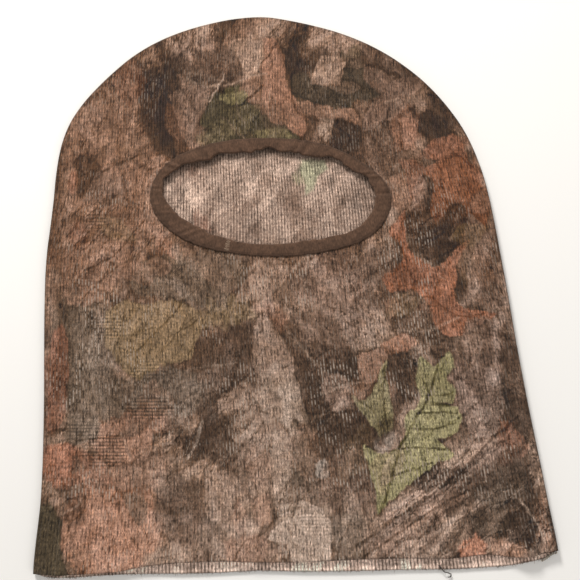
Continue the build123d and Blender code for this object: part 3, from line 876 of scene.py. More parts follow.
def grain(x, y, degrees, seed):
    """Bark grain at an angle: fine, medium, thin cracks, thin lights, broad shards."""
    ca, sa = np.cos(np.radians(degrees)), np.sin(np.radians(degrees))
    along, off = x * ca + y * sa, -x * sa + y * ca
    off = off + 2.4 * fbm(x / 13, y / 13, seed, 3) + 0.7 * fbm(x / 4, y / 4, seed + 9, 2)
    fine = fbm(off / 1.5, along / 7.5, seed + 1, 3)
    medium = fbm(off / 4.0, along / 13, seed + 2, 4, 0.6)
    crack = ramp(0.060, 0.012, np.abs(fbm(off / 5.2, along / 21, seed + 3, 4, 0.62)))
    glint = ramp(0.060, 0.010, np.abs(fbm(off / 3.9, along / 16, seed + 4, 3, 0.6) - 0.08))
    shard = fbm(off / 7.5, along / 19, seed + 5, 4, 0.6)
    return np.array([fine, medium, crack, glint, shard])


def leaning_grain(x, y, seed):
    """The five grain fields, leaning up to the right (42) or left (128) in places."""
    wander = fbm(x / 38, y / 38, seed + 20, 2)
    rising = np.maximum(ramp(10, 55, x) * ramp(-50, -95, y),
                        ramp(34, 14, np.hypot((x + 42) / 1.5, (y + 78) / 1.1)))
    falling = ramp(20, 60, x) * ramp(40, 80, y + 0.3 * x)
    falling = np.maximum(falling, ramp(30, 12, np.hypot(x - 32, (y + 20) / 1.2)) * 0.8)
    rising = np.maximum(rising, ramp(0.22, 0.42, wander) * 0.9)
    falling = np.maximum(falling, ramp(-0.22, -0.42, wander) * 0.9) * (1 - rising)
    return sum(grain(x, y, degrees, seed + step) * weight for degrees, step, weight in (
        (90, 200, 1 - rising - falling), (42, 230, rising), (128, 260, falling)))


def paint_ground(x, y, seed):
    """Base tone from left to right, bark plates, then the soft patches."""
    warp_x = 8.0 * fbm(x / 19, y / 23, seed + 5, 5, 0.58)
    warp_y = 8.5 * fbm(x / 19 + 40, y / 23 + 7, seed + 6, 5, 0.58)
    bent_x = x + warp_x + 1.3 * fbm(x / 3.0, y / 8.0, seed + 7, 3)
    bent_y = y + warp_y + 2.8 * fbm(x / 2.4, y / 9, seed + 8, 3)
    t = ramp(-60, 90, x - 0.15 * y)[:, None]
    colour = srgb((132, 104, 84)) * (1 - t) + srgb((120, 98, 83)) * t
    plate = fbm(bent_x / 14, bent_y / 26, seed + 12, 4)
    for start, end, ink, opacity in ((0.08, 0.20, "sand", 0.45), (-0.10, -0.22, "umber2", 0.62),
                                     (-0.26, -0.36, "umber", 0.4)):
        colour = mix(colour, INKS[ink], ramp(start, end, plate) * opacity)
    for cx, cy, rx, ry, degrees, ink, soft, opacity in PATCHES:
        i = within(bent_x, bent_y, cx, cy, max(rx, ry) * (1 + soft) + 1)
        ca, sa = math.cos(math.radians(degrees)), math.sin(math.radians(degrees))
        dx, dy = bent_x[i] - cx, bent_y[i] - cy
        radius = (np.abs((dx * ca + dy * sa) / rx) ** 2.3
                  + np.abs((-dx * sa + dy * ca) / ry) ** 2.3) ** (1 / 2.3)
        cover = ramp(1 + soft * 0.7, 1 - soft * 0.7, radius) * opacity
        colour[i] = mix(colour[i], INKS[ink], cover)
    return colour


def paint_shapes(colour, x, y, seed):
    """Lay the drawn shapes, each with a dark rim. Gives how much bark shows."""
    bark = np.full(len(x), 0.85)
    bent_x = (x + 1.5 * fbm(x / 6, y / 8, seed + 40, 3)
              + 0.5 * fbm(x / 1.6, y / 3, seed + 41, 2))
    bent_y = (y + 1.7 * fbm(x / 6 + 9, y / 8, seed + 42, 3)
              + 0.9 * fbm(x / 1.4, y / 4, seed + 43, 2))
    for ink, soft, opacity, bark_here, corners in SHAPES:
        low, high = corners.min(0) - 5, corners.max(0) + 5
        i = np.nonzero((bent_x > low[0]) & (bent_x < high[0])
                       & (bent_y > low[1]) & (bent_y < high[1]))[0]
        if not len(i):
            continue
        outline = catmull(np.vstack([corners, corners[:1]]), 3)[:-1]
        depth = polygon_depth(bent_x[i], bent_y[i], outline)
        cover = ramp(-soft, soft, depth)
        rim = ramp(-2.6, -0.2, depth) * (1 - cover) * 0.30 * opacity
        body = INKS[ink] * (1 + 0.14 * fbm(x[i] / 9, y[i] / 12, seed + 44, 3))[:, None]
        colour[i] = mix(scaled(colour[i], 1 - rim), body, cover * opacity)
        bark[i] += (bark_here - bark[i]) * cover * opacity
    return bark


def paint_bark(colour, x, y, bark, seed):
    """Shards, cracks and lights over everything. Gives the colour and a grain factor."""
    fine, medium, crack, glint, shard = leaning_grain(x, y, seed)
    rough = ramp(-0.35, 0.25, fbm(x / 33, y / 30, seed + 30, 3))      # how busy the bark is
    pale = ramp(0.13, 0.17, shard) * (0.30 + 0.35 * rough) * bark
    colour = mix(colour, colour * 1.42 + 0.015, pale)
    colour = mix(colour, colour * 1.35 + 0.02, ramp(0.27, 0.30, shard) * 0.35 * bark)
    dark = ramp(-0.12, -0.16, shard) * (0.34 + 0.42 * rough) * bark
    colour = scaled(colour, 1 - 0.50 * dark)
    colour = scaled(colour, 1 + (0.34 * medium + 0.20 * fine) * (0.40 + 0.45 * bark))
    colour = scaled(colour, 1 - (0.50 + 0.32 * rough) * crack * (0.30 + 0.70 * bark))
    lights = glint * (0.15 + 0.5 * rough) * ramp(-0.25, 0.15, medium) * bark
    return mix(colour, LIGHT_YARN, 0.55 * lights), 1 + 0.30 * medium + 0.24 * fine


def paint_leaf(colour, x, y, grainy, kind, root, tip, half_width, lobes, ink, veins, opacity,
               seed):
    """A long leaf: an "oak" has rounded lobes, a "blade" has none."""
    length = math.hypot(tip[0] - root[0], tip[1] - root[1])
    i = within(x, y, (root[0] + tip[0]) / 2, (root[1] + tip[1]) / 2,
               length / 2 + half_width + 6)
    if not len(i):
        return
    x, y = x[i], y[i]
    wobble = 0.8 * fbm(x / 5, y / 5, 180 + seed, 3)
    dx = x + wobble - root[0]
    dy = y + 0.8 * fbm(x / 5 + 30, y / 5, 181 + seed, 3) - root[1]
    ex, ey = (tip[0] - root[0]) / length, (tip[1] - root[1]) / length
    bend = (1 if seed % 4 == 1 else -1) * half_width * 0.16
    up = (dx * ex + dy * ey) / length             # 0 at the root, 1 at the tip
    off = -dx * ey + dy * ex - bend * np.sin(math.pi * np.clip(up, 0, 1))
    side = np.where(off > 0, 1.0, -1.0)
    off = np.abs(off)
    if kind == "oak":
        swept = np.clip(up - 0.30 * off / length, 1e-3, 1 - 1e-3)    # lobes lean to the tip
        phase = math.pi * lobes * (swept + 0.13 * side) + 0.7 * seed
        lobed = 0.50 + 0.50 * np.abs(np.sin(phase)) ** 0.75 + 0.07 * np.sin(2.7 * phase)
        width = half_width * np.sin(math.pi * swept ** 0.80) ** 0.62 * lobed
    else:
        swept = np.clip(up, 1e-3, 1 - 1e-3)
        width = (half_width * np.sin(math.pi * swept ** 0.85) ** 1.15
                 * (1 + 0.06 * np.sin(30 * swept)))
    depth = np.where((up > 0) & (up < 1), width - off, -4.0)
    cover = ramp(-0.30, 0.35, depth) * opacity
    shadow = ramp(-3.4, -0.1, depth) * (1 - ramp(-0.3, 0.3, depth)) * opacity
    midrib = ramp(0.62, 0.18, off) * ramp(0.99, 0.85, up)
    pitch = max(3.6, length / 11)                 # between side veins
    t = (up * length - off * 0.75 + 0.8 * side * (seed % 3) + 0.8 * wobble) / pitch
    side_vein = (ramp(0.50, 0.12, np.abs(t % 1.0 - 0.5) * pitch)
                 * ramp(0.1, 1.2, off) * ramp(-0.2, 2.5, depth))
    body = INKS[ink] * (1.0 + 0.16 * fbm(x / 7, y / 9, 210 + seed, 3) + 0.05 * side)[:, None]
    body = scaled(body, grainy[i])
    body = scaled(body, 1 - veins * 0.72 * np.maximum(midrib, side_vein))
    body = scaled(body, 1 + 0.14 * ramp(0.9, 0.25, depth) * ramp(-0.2, 0.25, depth))
    colour[i] = mix(scaled(colour[i], 1 - 0.48 * shadow), body, cover)


def paint_star(colour, x, y, grainy, centre, radius, degrees, ink, opacity, seed):
    """A leaf of five pointed lobes."""
    i = within(x, y, centre[0], centre[1], radius * 1.25)
    if not len(i):
        return
    x, y = x[i], y[i]
    dx = x + 0.9 * fbm(x / 5, y / 5, 280 + seed, 3) - centre[0]
    dy = y + 0.9 * fbm(x / 5 + 9, y / 5, 281 + seed, 3) - centre[1]
    out, heading = np.hypot(dx, dy) / radius, np.arctan2(dy, dx)
    edge, vein = np.full(len(i), 0.30), np.zeros(len(i))
    draw = np.random.default_rng(seed)
    for k in range(5):
        lobe = math.radians(degrees) + (k - 2) * 1.02 + draw.normal(0, 0.08)
        length = (1.0, 0.86, 0.62)[abs(k - 2)] * (1 + draw.normal(0, 0.06))
        turn = (heading - lobe + math.pi) % (2 * math.pi) - math.pi
        wide = np.abs(turn)
        tooth = 0.10 * (1 - np.abs(((wide * 9 + 0.3) % 1.0) * 2 - 1)) * (wide > 0.1)
        reach = (0.22 + (length - 0.22) * np.clip(1 - wide / 0.62, 0, 1) ** 1.25
                 + tooth * length * (wide < 0.6))
        edge = np.maximum(edge, reach)
        line = ramp(0.6, 0.15, np.abs(np.sin(turn)) * out * radius)
        vein = np.maximum(vein, line * (wide < 1.2) * ramp(length, length * 0.8, out))
    cover = ramp(0.03, -0.03, out - edge) * opacity
    shadow = ramp(0.16, 0.0, out - edge) * (out > edge) * opacity
    body = INKS[ink] * (1 + 0.18 * fbm(x / 6, y / 8, 310 + seed, 3))[:, None]
    body = scaled(scaled(body, grainy[i]), 1 - 0.42 * vein)
    colour[i] = mix(scaled(colour[i], 1 - 0.42 * shadow), body, cover)


def paint_litter(colour, x, y, grainy, draw):
    """Small leaves lying every way, half lost in the bark."""
    for k in range(70):
        cx, cy = draw.uniform(-145, 145), draw.uniform(-160, 160)
        length, heading = draw.uniform(16, 40), draw.uniform(0, 2 * math.pi)
        if draw.random() < 0.5:
            heading = math.pi / 2 + draw.normal(0, 0.5)
        dx, dy = math.cos(heading) * length / 2, math.sin(heading) * length / 2
        kind = "oak" if draw.random() < 0.45 else "blade"
        ink = LITTER_INKS[int(draw.integers(len(LITTER_INKS)))]
        paint_leaf(colour, x, y, grainy, kind, (cx - dx, cy - dy), (cx + dx, cy + dy),
                   half_width=length * draw.uniform(0.16, 0.30), lobes=draw.uniform(1.5, 3.0),
                   ink=ink, veins=draw.uniform(0.2, 0.7), opacity=draw.uniform(0.10, 0.36),
                   seed=400 + k)


def scattered_twigs(draw):
    twigs = []
    for _ in range(90):
        path = [(draw.uniform(-140, 140), draw.uniform(-155, 155))]
        heading = draw.choice([math.pi / 2, 0.7, 2.3, 0.1]) + draw.normal(0, 0.3)
        step = draw.uniform(8, 30) / 4
        for _ in range(4):
            heading += draw.normal(0, 0.22)
            x, y = path[-1]
            path.append((x + step * math.cos(heading), y + step * math.sin(heading)))
        width = draw.uniform(0.4, 0.8)
        twigs.append((width, draw.choice([0.8, 0.65, 0.5, -0.22]), np.array(path)))
    return twigs


def paint_twigs(colour, x, y, twigs, seed):
    for width, dark, path in twigs:
        middle = (path.max(0) + path.min(0)) / 2
        i = within(x, y, *middle, np.ptp(path, axis=0).max() / 2 + 5)
        if not len(i):
            continue
        tx, ty = x[i], y[i]
        distance, _ = path_distance(tx + 0.6 * noise(tx / 3, ty / 3, 83),
                                    ty + 0.6 * noise(tx / 3, ty / 3, 84), catmull(path, 5))
        broken = 0.6 + 0.4 * ramp(-0.25, 0.15, noise(tx / 3, ty / 3, seed + 90))
        cover = ramp(width * 1.15, width * 0.45, distance) * broken
        if dark > 0:
            colour[i] = scaled(colour[i], 1 - 0.72 * dark * cover)
        else:
            colour[i] = mix(colour[i], LIGHT_YARN, -dark * 0.8 * cover)


def balance(colour, x, y):
    """Bring the print to its level and hue, place by place."""
    light = lightness(colour)
    brown = np.array([1.36, 0.93, 0.66]) * light[:, None]
    colour = brown + (colour - brown) * 0.82
    # darker to the crown and at the lower left and right sides, paler low in the middle
    level = 1.10 - 0.23 * ramp(-50, 50, y)
    level = level + 0.10 * ramp(-45, -85, y) * ramp(115, 75, np.abs(x + 12))
    level = level - 0.15 * ramp(-108, -126, x) * ramp(15, -5, y) * ramp(-118, -92, y)
    level = level - 0.12 * ramp(74, 92, x) * ramp(-52, -66, y) * ramp(-104, -88, y)
    colour = scaled(colour, level * (light / 0.125) ** 0.36)
    warm = ramp(-60, 40, y)[:, None]
    colour = colour * (np.array([1.035, 0.985, 0.955])
                       * (1 + warm * np.array([0.035, -0.035, -0.08])))
    # pale places are paler in hue too, dark ones stay warm
    light = lightness(colour)[:, None]
    colour = light + (colour - light) * np.clip((0.125 / light) ** 0.32, 0.6, 1.5)
    # the palest ink stays under the bare yarn
    light = lightness(colour)
    over = np.maximum(light - (0.18 + 0.05 * ramp(-60, -110, y)), 0)
    colour = colour * 1.07 * ((light - 0.45 * over) / light)[:, None]
    # the crown is a little deeper, the lower right has more contrast
    light = lightness(colour)
    crown = ramp(66, 100, y)
    corner = ramp(45, 80, x) * ramp(-48, -72, y)
    contrast = np.clip(light / (0.115 + 0.03 * corner), 0.35, 2.0) ** (0.12 * crown
                                                                       + 0.32 * corner)
    return np.clip(scaled(colour, (1 - 0.12 * crown) * contrast), 0.008, 0.8)


def camo(x, y, seed, mirrored):
    """Printed colour at pattern places. Mirrored gives the back panel its own lie."""
    if mirrored:
        x, y = -x * 0.97 + 6, y * 0.98 - 3
    colour = paint_ground(x, y, seed)
    bark = paint_shapes(colour, x, y, seed)
    colour, grainy = paint_bark(colour, x, y, bark, seed)
    draw = np.random.default_rng(seed)
    paint_litter(colour, x, y, grainy, draw)
    for star in STARS:
        paint_star(colour, x, y, grainy, *star)
    for leaf in LEAVES:
        paint_leaf(colour, x, y, grainy, *leaf)
    paint_twigs(colour, x, y, TWIGS + scattered_twigs(draw), seed)
    fleck = noise(x / 0.9, y / 1.5, seed + 95) + 0.6 * noise(x / 1.9, y / 3.2, seed + 96)
    return balance(scaled(colour, 1 + 0.09 * fleck), x, y)


def knit_tone_and_valley_shade(colour, rib, y, seed):
    """Valleys between ribs are painted dark in runs as shade; ribs vary along their length."""
    k = np.floor(rib + 0.5)
    valley = ramp(0.36, 0.05, np.abs(rib - k))    # rib - k is 0 in a valley, 0.5 on a rib
    long = noise(k * 7.31 + 0.5, y / 6.5 + k * 1.7, seed)
    mid = noise(k * 5.17 + 0.3, y / 2.8 + k * 2.9, seed + 2)
    short = noise(k * 3.17 + 0.5, y / 1.3 + k * 4.1, seed + 1)
    colour = scaled(colour, 1 - 0.22 * valley * ramp(0.10, -0.45, 0.4 * (long + mid + short)))
    return scaled(colour, 1 + (1 - valley) * (0.12 * mid + 0.10 * short) + 0.07 * long)


def bar_zone(x, y):
    """How strongly courses show as bars across the ribs, 0 to 1."""
    strength = np.zeros(len(x))
    bent_x, bent_y = x + 3.0 * fbm(x / 8, y / 8, 61, 3), y + 2.0 * fbm(x / 7, y / 7, 62, 3)
    for cx, cy, rx, ry, most in BAR_PLACES:
        radius = np.hypot((bent_x - cx) / rx, (bent_y - cy) / ry)
        strength = np.maximum(strength, most * ramp(1.0, 0.6, radius))
    return strength


def tick_zone(x, y, colour, seed):
    """How much unprinted yarn shows between the ribs, 0 to 1."""
    zone = ramp(-0.30, 0.28, fbm(x / 22, y / 26, seed, 3))
    dark = ramp(0.24, 0.06, colour.mean(-1))
    corner = ramp(18, 34, np.hypot((x + 138) / 0.9, (y + 148) / 1.5))
    return ((0.22 + 0.78 * zone) * (0.34 + 0.66 * ramp(90, 0, y)) * (0.72 + 0.28 * dark)
            * (0.15 + 0.85 * corner))


def inner_face(x, y, rib, printed, seed):
    """The unprinted side: pale yarn, with some of the print come through the valleys."""
    k = np.floor(rib + 0.5)
    valley = ramp(0.46, 0.10, np.abs(rib - k))
    mid = noise(k * 5.77, y / 2.4 + k * 2.3, seed)
    long = noise(k * 9.7, y / 6.5 + k * 1.1, seed + 1)
    short = noise(k * 2.9, y / 1.2 + k * 3.1, seed + 2)
    # soft drags lying across the ribs, with painted highlight on their crests
    across, along = x * 0.77 - y * 0.64, x * 0.64 + y * 0.77
    lit_crest = ramp(0.04, 0.30, fbm(across / 5.5 + 0.4 * noise(x / 9, y / 9, seed + 7),
                                 along / 26, seed + 8, 3))
    bands = fbm(x / 15 + y / 24, y / 18 - x / 28, seed + 4, 4)
    blot = ramp(-0.15, 0.35, fbm(x / 8 + 3, y / 12, seed + 5, 4))
    hem = ramp(-136, -150, y)
    pale = srgb((190, 165, 149)) * (1 + 0.26 * bands + 0.12 * mid + 0.22 * lit_crest)[:, None]
    pale = pale * (1 + hem[:, None] * np.array([1.16, 1.26, 1.38]))
    bleed = srgb((84, 66, 56)) * 0.55 + printed * 0.50
    cover = (valley * (0.70 + 0.44 * ramp(-0.5, 0.5, mid + 0.5 * long + 0.4 * short))
             * (0.92 - 0.5 * bands + 0.35 * blot - 0.35 * lit_crest))
    cover = (cover + 0.12 + 0.26 * blot * (1 - 0.6 * lit_crest)) * (1 - 0.22 * hem)
    return np.clip(mix(pale, bleed, np.clip(cover, 0, 0.97)), 0.02, 0.95)


def show_through(colour, x, y):
    """What is seen inside the opening: a pale green leaf, dark bark and a shaded rim."""
    bent_x = x + 0.8 * fbm(x / 3, y / 5, 9, 3)
    bent_y = y + 1.4 * fbm(x / 3, y / 5, 10, 3)
    leaf = ramp(-0.8, 0.8, polygon_depth(bent_x, bent_y, SHOW_LEAF))
    green = srgb((158, 158, 130)) * (1 + 0.25 * fbm(x / 1.5, y / 4, 11, 3))[:, None]
    colour = mix(colour, green, 0.66 * leaf)
    for cx, cy, rx, ry, strength in SHOW_BLOTS:
        radius = np.hypot((bent_x - cx) / rx, (bent_y - cy) / ry)
        streak = 0.55 + 0.45 * noise(x / 1.1, y / 3, 12)
        colour = scaled(colour, 1 - strength * ramp(1.15, 0.5, radius) * streak)
    share, turn = opening_share(x, y)
    rim = ramp(-0.55, 0.0, share) * ramp(-0.35, 0.6, np.sin(turn)) * ramp(1.4, 1.0, share)
    colour = scaled(colour, 1 - 0.45 * rim)
    # courses pulled open at the opening's left end
    pulled = ramp(1.0, 0.5, np.hypot((x + 64) / 4.5, (y - 52) / 8.0))
    bars = ramp(0.12, 0.38, np.abs((y / 1.42) % 1.0 - 0.5))
    return scaled(colour, 1 - 0.40 * pulled * (1 - bars))


def panel_colours(x, y, rib, edge, above_hem, strip, front):
    """Colours of the printed and inner faces, and how much bare yarn shows."""
    seed = 100 if front else 300
    printed = camo(x, y, seed, mirrored=not front)
    tick = tick_zone(x, y, printed, seed + 60)
    outer = knit_tone_and_valley_shade(printed, rib, y, seed + 7)
    if front:
        inner = inner_face(x, y, rib, printed, seed + 19)
    else:
        green = ramp(1.0, 0.4, np.hypot((x - 6) / 8.0, (y - 66) / 11.0)
                     + 0.5 * fbm(x / 5, y / 7, 9, 3))
        printed = mix(printed, srgb((150, 160, 110)), 0.9 * green)
        inner = show_through(inner_face(x, y, rib, printed, seed + 19), x, y)
    # the seam's turn and the allowance are darker, partly print wrapping round the turn and partly
    # painted shade; the cloth beside the tape is darker as painted shade; the cut edges are darker
    outer = scaled(outer, np.where(strip, 0.75, 1 - 0.55 * ramp(1.5, 0.3, edge)))
    if front:
        outer = scaled(outer, 1 - 0.24 * ramp(1.14, 1.02, opening_share(x, y)[0]))
    cut = ramp(1.2, 0.2, above_hem)
    return scaled(outer, 1 - 0.35 * cut), scaled(inner, 1 - 0.55 * cut), tick


# ------------------------------------------------------------------ mesh making
def add_mesh(name, verts, faces, attributes, loop_uv=None):
    """A smooth mesh from mm. faces: arrays of n corners; attributes: name -> vertex values."""
    mesh = bpy.data.meshes.new(name)
    mesh.vertices.add(len(verts))
    mesh.vertices.foreach_set("co", (np.asarray(verts, float) * 0.001).astype(np.float32).ravel())
    sizes = np.concatenate([np.full(len(f), f.shape[1], np.int32) for f in faces])
    loops = np.concatenate([f.ravel() for f in faces]).astype(np.int32)
    mesh.loops.add(len(loops))
    mesh.loops.foreach_set("vertex_index", loops)
    mesh.polygons.add(len(sizes))
    starts = np.concatenate([[0], np.cumsum(sizes)[:-1]]).astype(np.int32)
    mesh.polygons.foreach_set("loop_start", starts)
    mesh.polygons.foreach_set("loop_total", sizes)
    mesh.polygons.foreach_set("use_smooth", np.ones(len(sizes), bool))
    mesh.update(calc_edges=True)
    for key, values in attributes.items():
        values = np.asarray(values, np.float32)
        if values.ndim == 2:
            rgba = np.concatenate([values, np.ones((len(values), 1), np.float32)], 1)
            mesh.attributes.new(key, "FLOAT_COLOR", "POINT").data.foreach_set(
                "color", rgba.ravel())
        else:
            mesh.attributes.new(key, "FLOAT", "POINT").data.foreach_set("value", values)
    if loop_uv is not None:
        layer = mesh.uv_layers.new(name="OFBake")
        layer.data.foreach_set("uv", np.asarray(loop_uv, np.float32).ravel())
    mesh.validate(clean_customdata=False)
    ob = bpy.data.objects.new(name, mesh)
    bpy.context.scene.collection.objects.link(ob)
    return ob


class Threads:
    """Gathers many small closed tubes into one mesh."""

    def __init__(self):
        self.verts, self.quads, self.tris, self.colours, self.count = [], [], [], [], 0

    def tube(self, path, radii, sides, colour):
        path = np.asarray(path, float)
        n = len(path)
        radii = np.broadcast_to(np.asarray(radii, float), (n,))
        along = np.gradient(path, axis=0)
        along /= np.maximum(np.linalg.norm(along, axis=1), 1e-9)[:, None]
        up = np.array([0.0, 0.0, 1.0])
        if abs(along[0] @ up) > 0.9:
            up = np.array([1.0, 0.0, 0.0])
        side = np.cross(along[0], up)
        side /= np.linalg.norm(side)
        rings = []
        angle = np.arange(sides)[:, None] * 2 * math.pi / sides
        for i in range(n):
            side = side - along[i] * (side @ along[i])
            side /= max(np.linalg.norm(side), 1e-9)
            other = np.cross(along[i], side)
            rings.append(path[i] + radii[i] * (np.cos(angle) * side + np.sin(angle) * other))
        # ring by ring, then a point to close each end
        self.verts += rings + [path[:1] - along[:1] * radii[0] * 0.6,
                               path[-1:] + along[-1:] * radii[-1] * 0.6]
        i = np.arange(n - 1)[:, None] * sides
        j = np.arange(sides)
        after = (j + 1) % sides
        quads = np.stack([i + j, i + after, i + sides + after, i + sides + j], -1)
        first, last, end_ring = n * sides, n * sides + 1, (n - 1) * sides
        self.quads.append(self.count + quads.reshape(-1, 4))
        self.tris.append(self.count + np.stack([np.full(sides, first), after, j], -1))
        self.tris.append(self.count + np.stack(
            [np.full(sides, last), end_ring + j, end_ring + after], -1))
        self.colours.append(np.broadcast_to(np.asarray(colour, float), (n * sides + 2, 3)))
        self.count += n * sides + 2

    def build(self, name):
        return add_mesh(name, np.concatenate(self.verts),
                        [np.concatenate(self.quads), np.concatenate(self.tris)],
                        {"Col": np.concatenate(self.colours)})


# ------------------------------------------------------------------ panels
# A panel is worked as a sheet of mid cloth, one row per vertex, with these columns.
MID, PLACE = slice(0, 3), slice(3, 5)             # mid cloth x y z; pattern place x y
RIB_AT, EDGE, ABOVE_HEM, STRIP = 5, 6, 7, 8       # rib number, mm from seam and hem, allowance


def panel_grid(hem, front):
    """Shares of the width, and x, y of a grid of ribs by rows, close-set at the edges."""
    per_rib = 3
    edge = np.array([0, 0.18, 0.40, 0.66, 0.95, 1.30]) / PANEL_WIDTH
    middle = np.arange(per_rib, RIBS * per_rib - per_rib + 1) / (RIBS * per_rib)
    across = np.concatenate([edge, middle, 1 - edge[::-1]])
    row_count = 440 if front else 230
    low, high = height_on(hem, across), height_on(CROWN, across)
    bottom = np.array([0, 0.35, 0.8, 1.4, 2.2])[:, None]
    top = np.array([0, 0.22, 0.5, 0.85, 1.3, 1.9, 2.7])[:, None]
    inner = np.linspace(0, 1, row_count)[1:-1, None]
    start, end = low + bottom[-1], high - top[-1]
    y = np.concatenate([low + bottom, start + inner * (end - start), (high - top)[::-1]])
    left, right = rib_ends(y)
    return across, left + across * (right - left), y, low


def add_allowance(sheet, quads, loop, side):
    """The allowance, turned inside all round the seam. side: 1 front, -1 back."""
    place = sheet[loop, PLACE]
    _, inward = edge_distance(place[:, 0], place[:, 1])
    # even out the normals a little so the strip doesn't pinch
    for _ in range(3):
        inward[1:-1] = inward[1:-1] * 0.5 + 0.25 * (inward[2:] + inward[:-2])
    inward = unit(inward)
    # the section: mm in from the seam, rise off its plane, length of cloth
    section = [(ROLL_IN - ROLL * math.cos(t), ROLL_Z - ROLL * math.sin(t), ROLL * t)
               for t in (0.52, 1.05, math.pi / 2)]
    section += [(inside, ALLOWANCE_RISE, QUARTER + inside - ROLL_IN)
                for inside in (2.0, 3.4, 4.8, 6.0)]
    before = loop
    for inside, rise, length in section:
        now = len(sheet) + np.arange(len(loop))
        line = np.empty((len(loop), 9))
        line[:, :2] = place + inward * inside
        line[:, 2] = SEAM_Z + side * rise
        line[:, PLACE] = place - inward * length
        line[:, RIB_AT] = sheet[loop, RIB_AT] - length * inward[:, 0] / RIB
        line[:, EDGE] = inside
        line[:, ABOVE_HEM] = sheet[loop, ABOVE_HEM]
        line[:, STRIP] = 1
        strip = np.stack([before[:-1], before[1:], now[1:], now[:-1]], -1)[:, ::-1]
        sheet, quads, before = np.vstack([sheet, line]), np.vstack([quads, strip]), now
    return sheet, quads


def panel_sheet(hem, front):
    """Mid cloth of a panel and its allowance: the sheet and its quads."""
    across, x, y, low = panel_grid(hem, front)
    edge, inward = edge_distance(x, y)
    # the last row and the side columns lie exactly on the seam line
    edge[:, 0] = edge[:, -1] = 0
    edge[-1] = 0
    # the turn at the seam: a small roll of cloth
    bent = np.clip(edge / ROLL, 0, math.pi / 2)
    rolled = edge < QUARTER
    shift = np.where(rolled, ROLL_IN - ROLL * np.cos(bent) - edge,
                     (ROLL_IN - QUARTER) * np.exp(-(edge - QUARTER) / 8))
    mid_x = x + inward[..., 0] * shift
    mid_y = y + inward[..., 1] * shift * np.where(y < -120, 0.2, 1.0)
    rise = np.where(rolled, ROLL_Z + ROLL * np.sin(bent), MID_RISE)
    index = np.arange(x.size).reshape(x.shape)
    quads = np.stack([index[:-1, :-1], index[:-1, 1:], index[1:, 1:], index[1:, :-1]], -1)
    if front:
        share, turn = opening_share(x, y)
        middle = (share[:-1, :-1] + share[1:, :-1] + share[:-1, 1:] + share[1:, 1:]) / 4
        quads = quads[middle > CUT_SHARE]
        hem_wave = 0.5 + 0.5 * fbm(x / 17, y * 0 + 3.3, 77, 2)
        lift = (lift_front(x, y, edge)
                + ramp(10.0, 0.0, y - low) * (0.25 + 0.9 * hem_wave) * ramp(5, 16, edge))
        mid_z = SEAM_Z + rise + lift
    else:
        quads = quads.reshape(-1, 4)
        mid_z = SEAM_Z - rise + lift_back(x, y, edge)
    ribs = np.broadcast_to(across * RIBS, x.shape)
    sheet = np.stack([mid_x, mid_y, mid_z, x, y, ribs, edge, y - low, np.zeros_like(x)],
                     -1).reshape(-1, 9)
    if front:
        # pull the cut edge of the opening on to its line
        uses = np.zeros(x.size, int)
        np.add.at(uses, quads.ravel(), 1)
        share, turn = share.ravel(), turn.ravel()
        rim = (uses > 0) & (uses < 4) & (share < CUT_SHARE + 0.35) & (share > 0)
        line = np.stack(opening_point(turn[rim], CUT_SHARE), 1)
        sheet[rim, :2] = line
        sheet[rim, PLACE] = line
    loop = np.concatenate([index[:, 0], index[-1, 1:-1], index[::-1, -1]])
    sheet, quads = add_allowance(sheet, quads, loop, 1.0 if front else -1.0)
    used = np.zeros(len(sheet), bool)
    used[quads.ravel()] = True
    quads = (np.cumsum(used) - 1)[quads]
    return sheet[used], quads if front else quads[:, ::-1]


def thicken(sheet, quads, front):
    """Outer then inner vertices of the cloth, with ribs proud on both faces."""
    mid = sheet[:, MID]
    face_normals = np.cross(mid[quads[:, 2]] - mid[quads[:, 0]],
                            mid[quads[:, 3]] - mid[quads[:, 1]])
    normals = np.zeros_like(mid)
    for i in range(4):
        np.add.at(normals, quads[:, i], face_normals)
    normals /= np.maximum(np.linalg.norm(normals, axis=1), 1e-12)[:, None]
    fade = np.where(sheet[:, STRIP] > 0, 0.25, ramp(0.4, 2.5, sheet[:, EDGE]))
    depth = 0.15                                  # half the height of a rib
    wave = np.cos(2 * math.pi * (sheet[:, RIB_AT] - 0.5))
    crinkle = fbm(sheet[:, 3] / 1.6, sheet[:, 4] / 4.6, 77 if front else 177, 2)
    if not front:
        crinkle = np.minimum(crinkle, 0.0)
    outward = (depth * wave - depth + 0.14 * crinkle) * fade
    inward = (-depth * wave - depth) * fade
    return np.concatenate([mid + normals * (CLOTH / 2 + outward)[:, None],
                           mid - normals * (CLOTH / 2 + inward)[:, None]])


def rim_quads(quads, count):
    """Quads that close the cloth's thickness at its boundary edges."""
    edges = np.concatenate([quads[:, [i, (i + 1) % 4]] for i in range(4)])
    ends = np.sort(edges, axis=1)
    code = ends[:, 0].astype(np.int64) * count + ends[:, 1]
    order = np.argsort(code, kind="stable")
    same = code[order][1:] == code[order][:-1]
    single = np.ones(len(code), bool)
    single[1:] &= ~same
    single[:-1] &= ~same
    rim = edges[order[single]]
    return np.stack([rim[:, 1], rim[:, 0], rim[:, 0] + count, rim[:, 1] + count], -1)


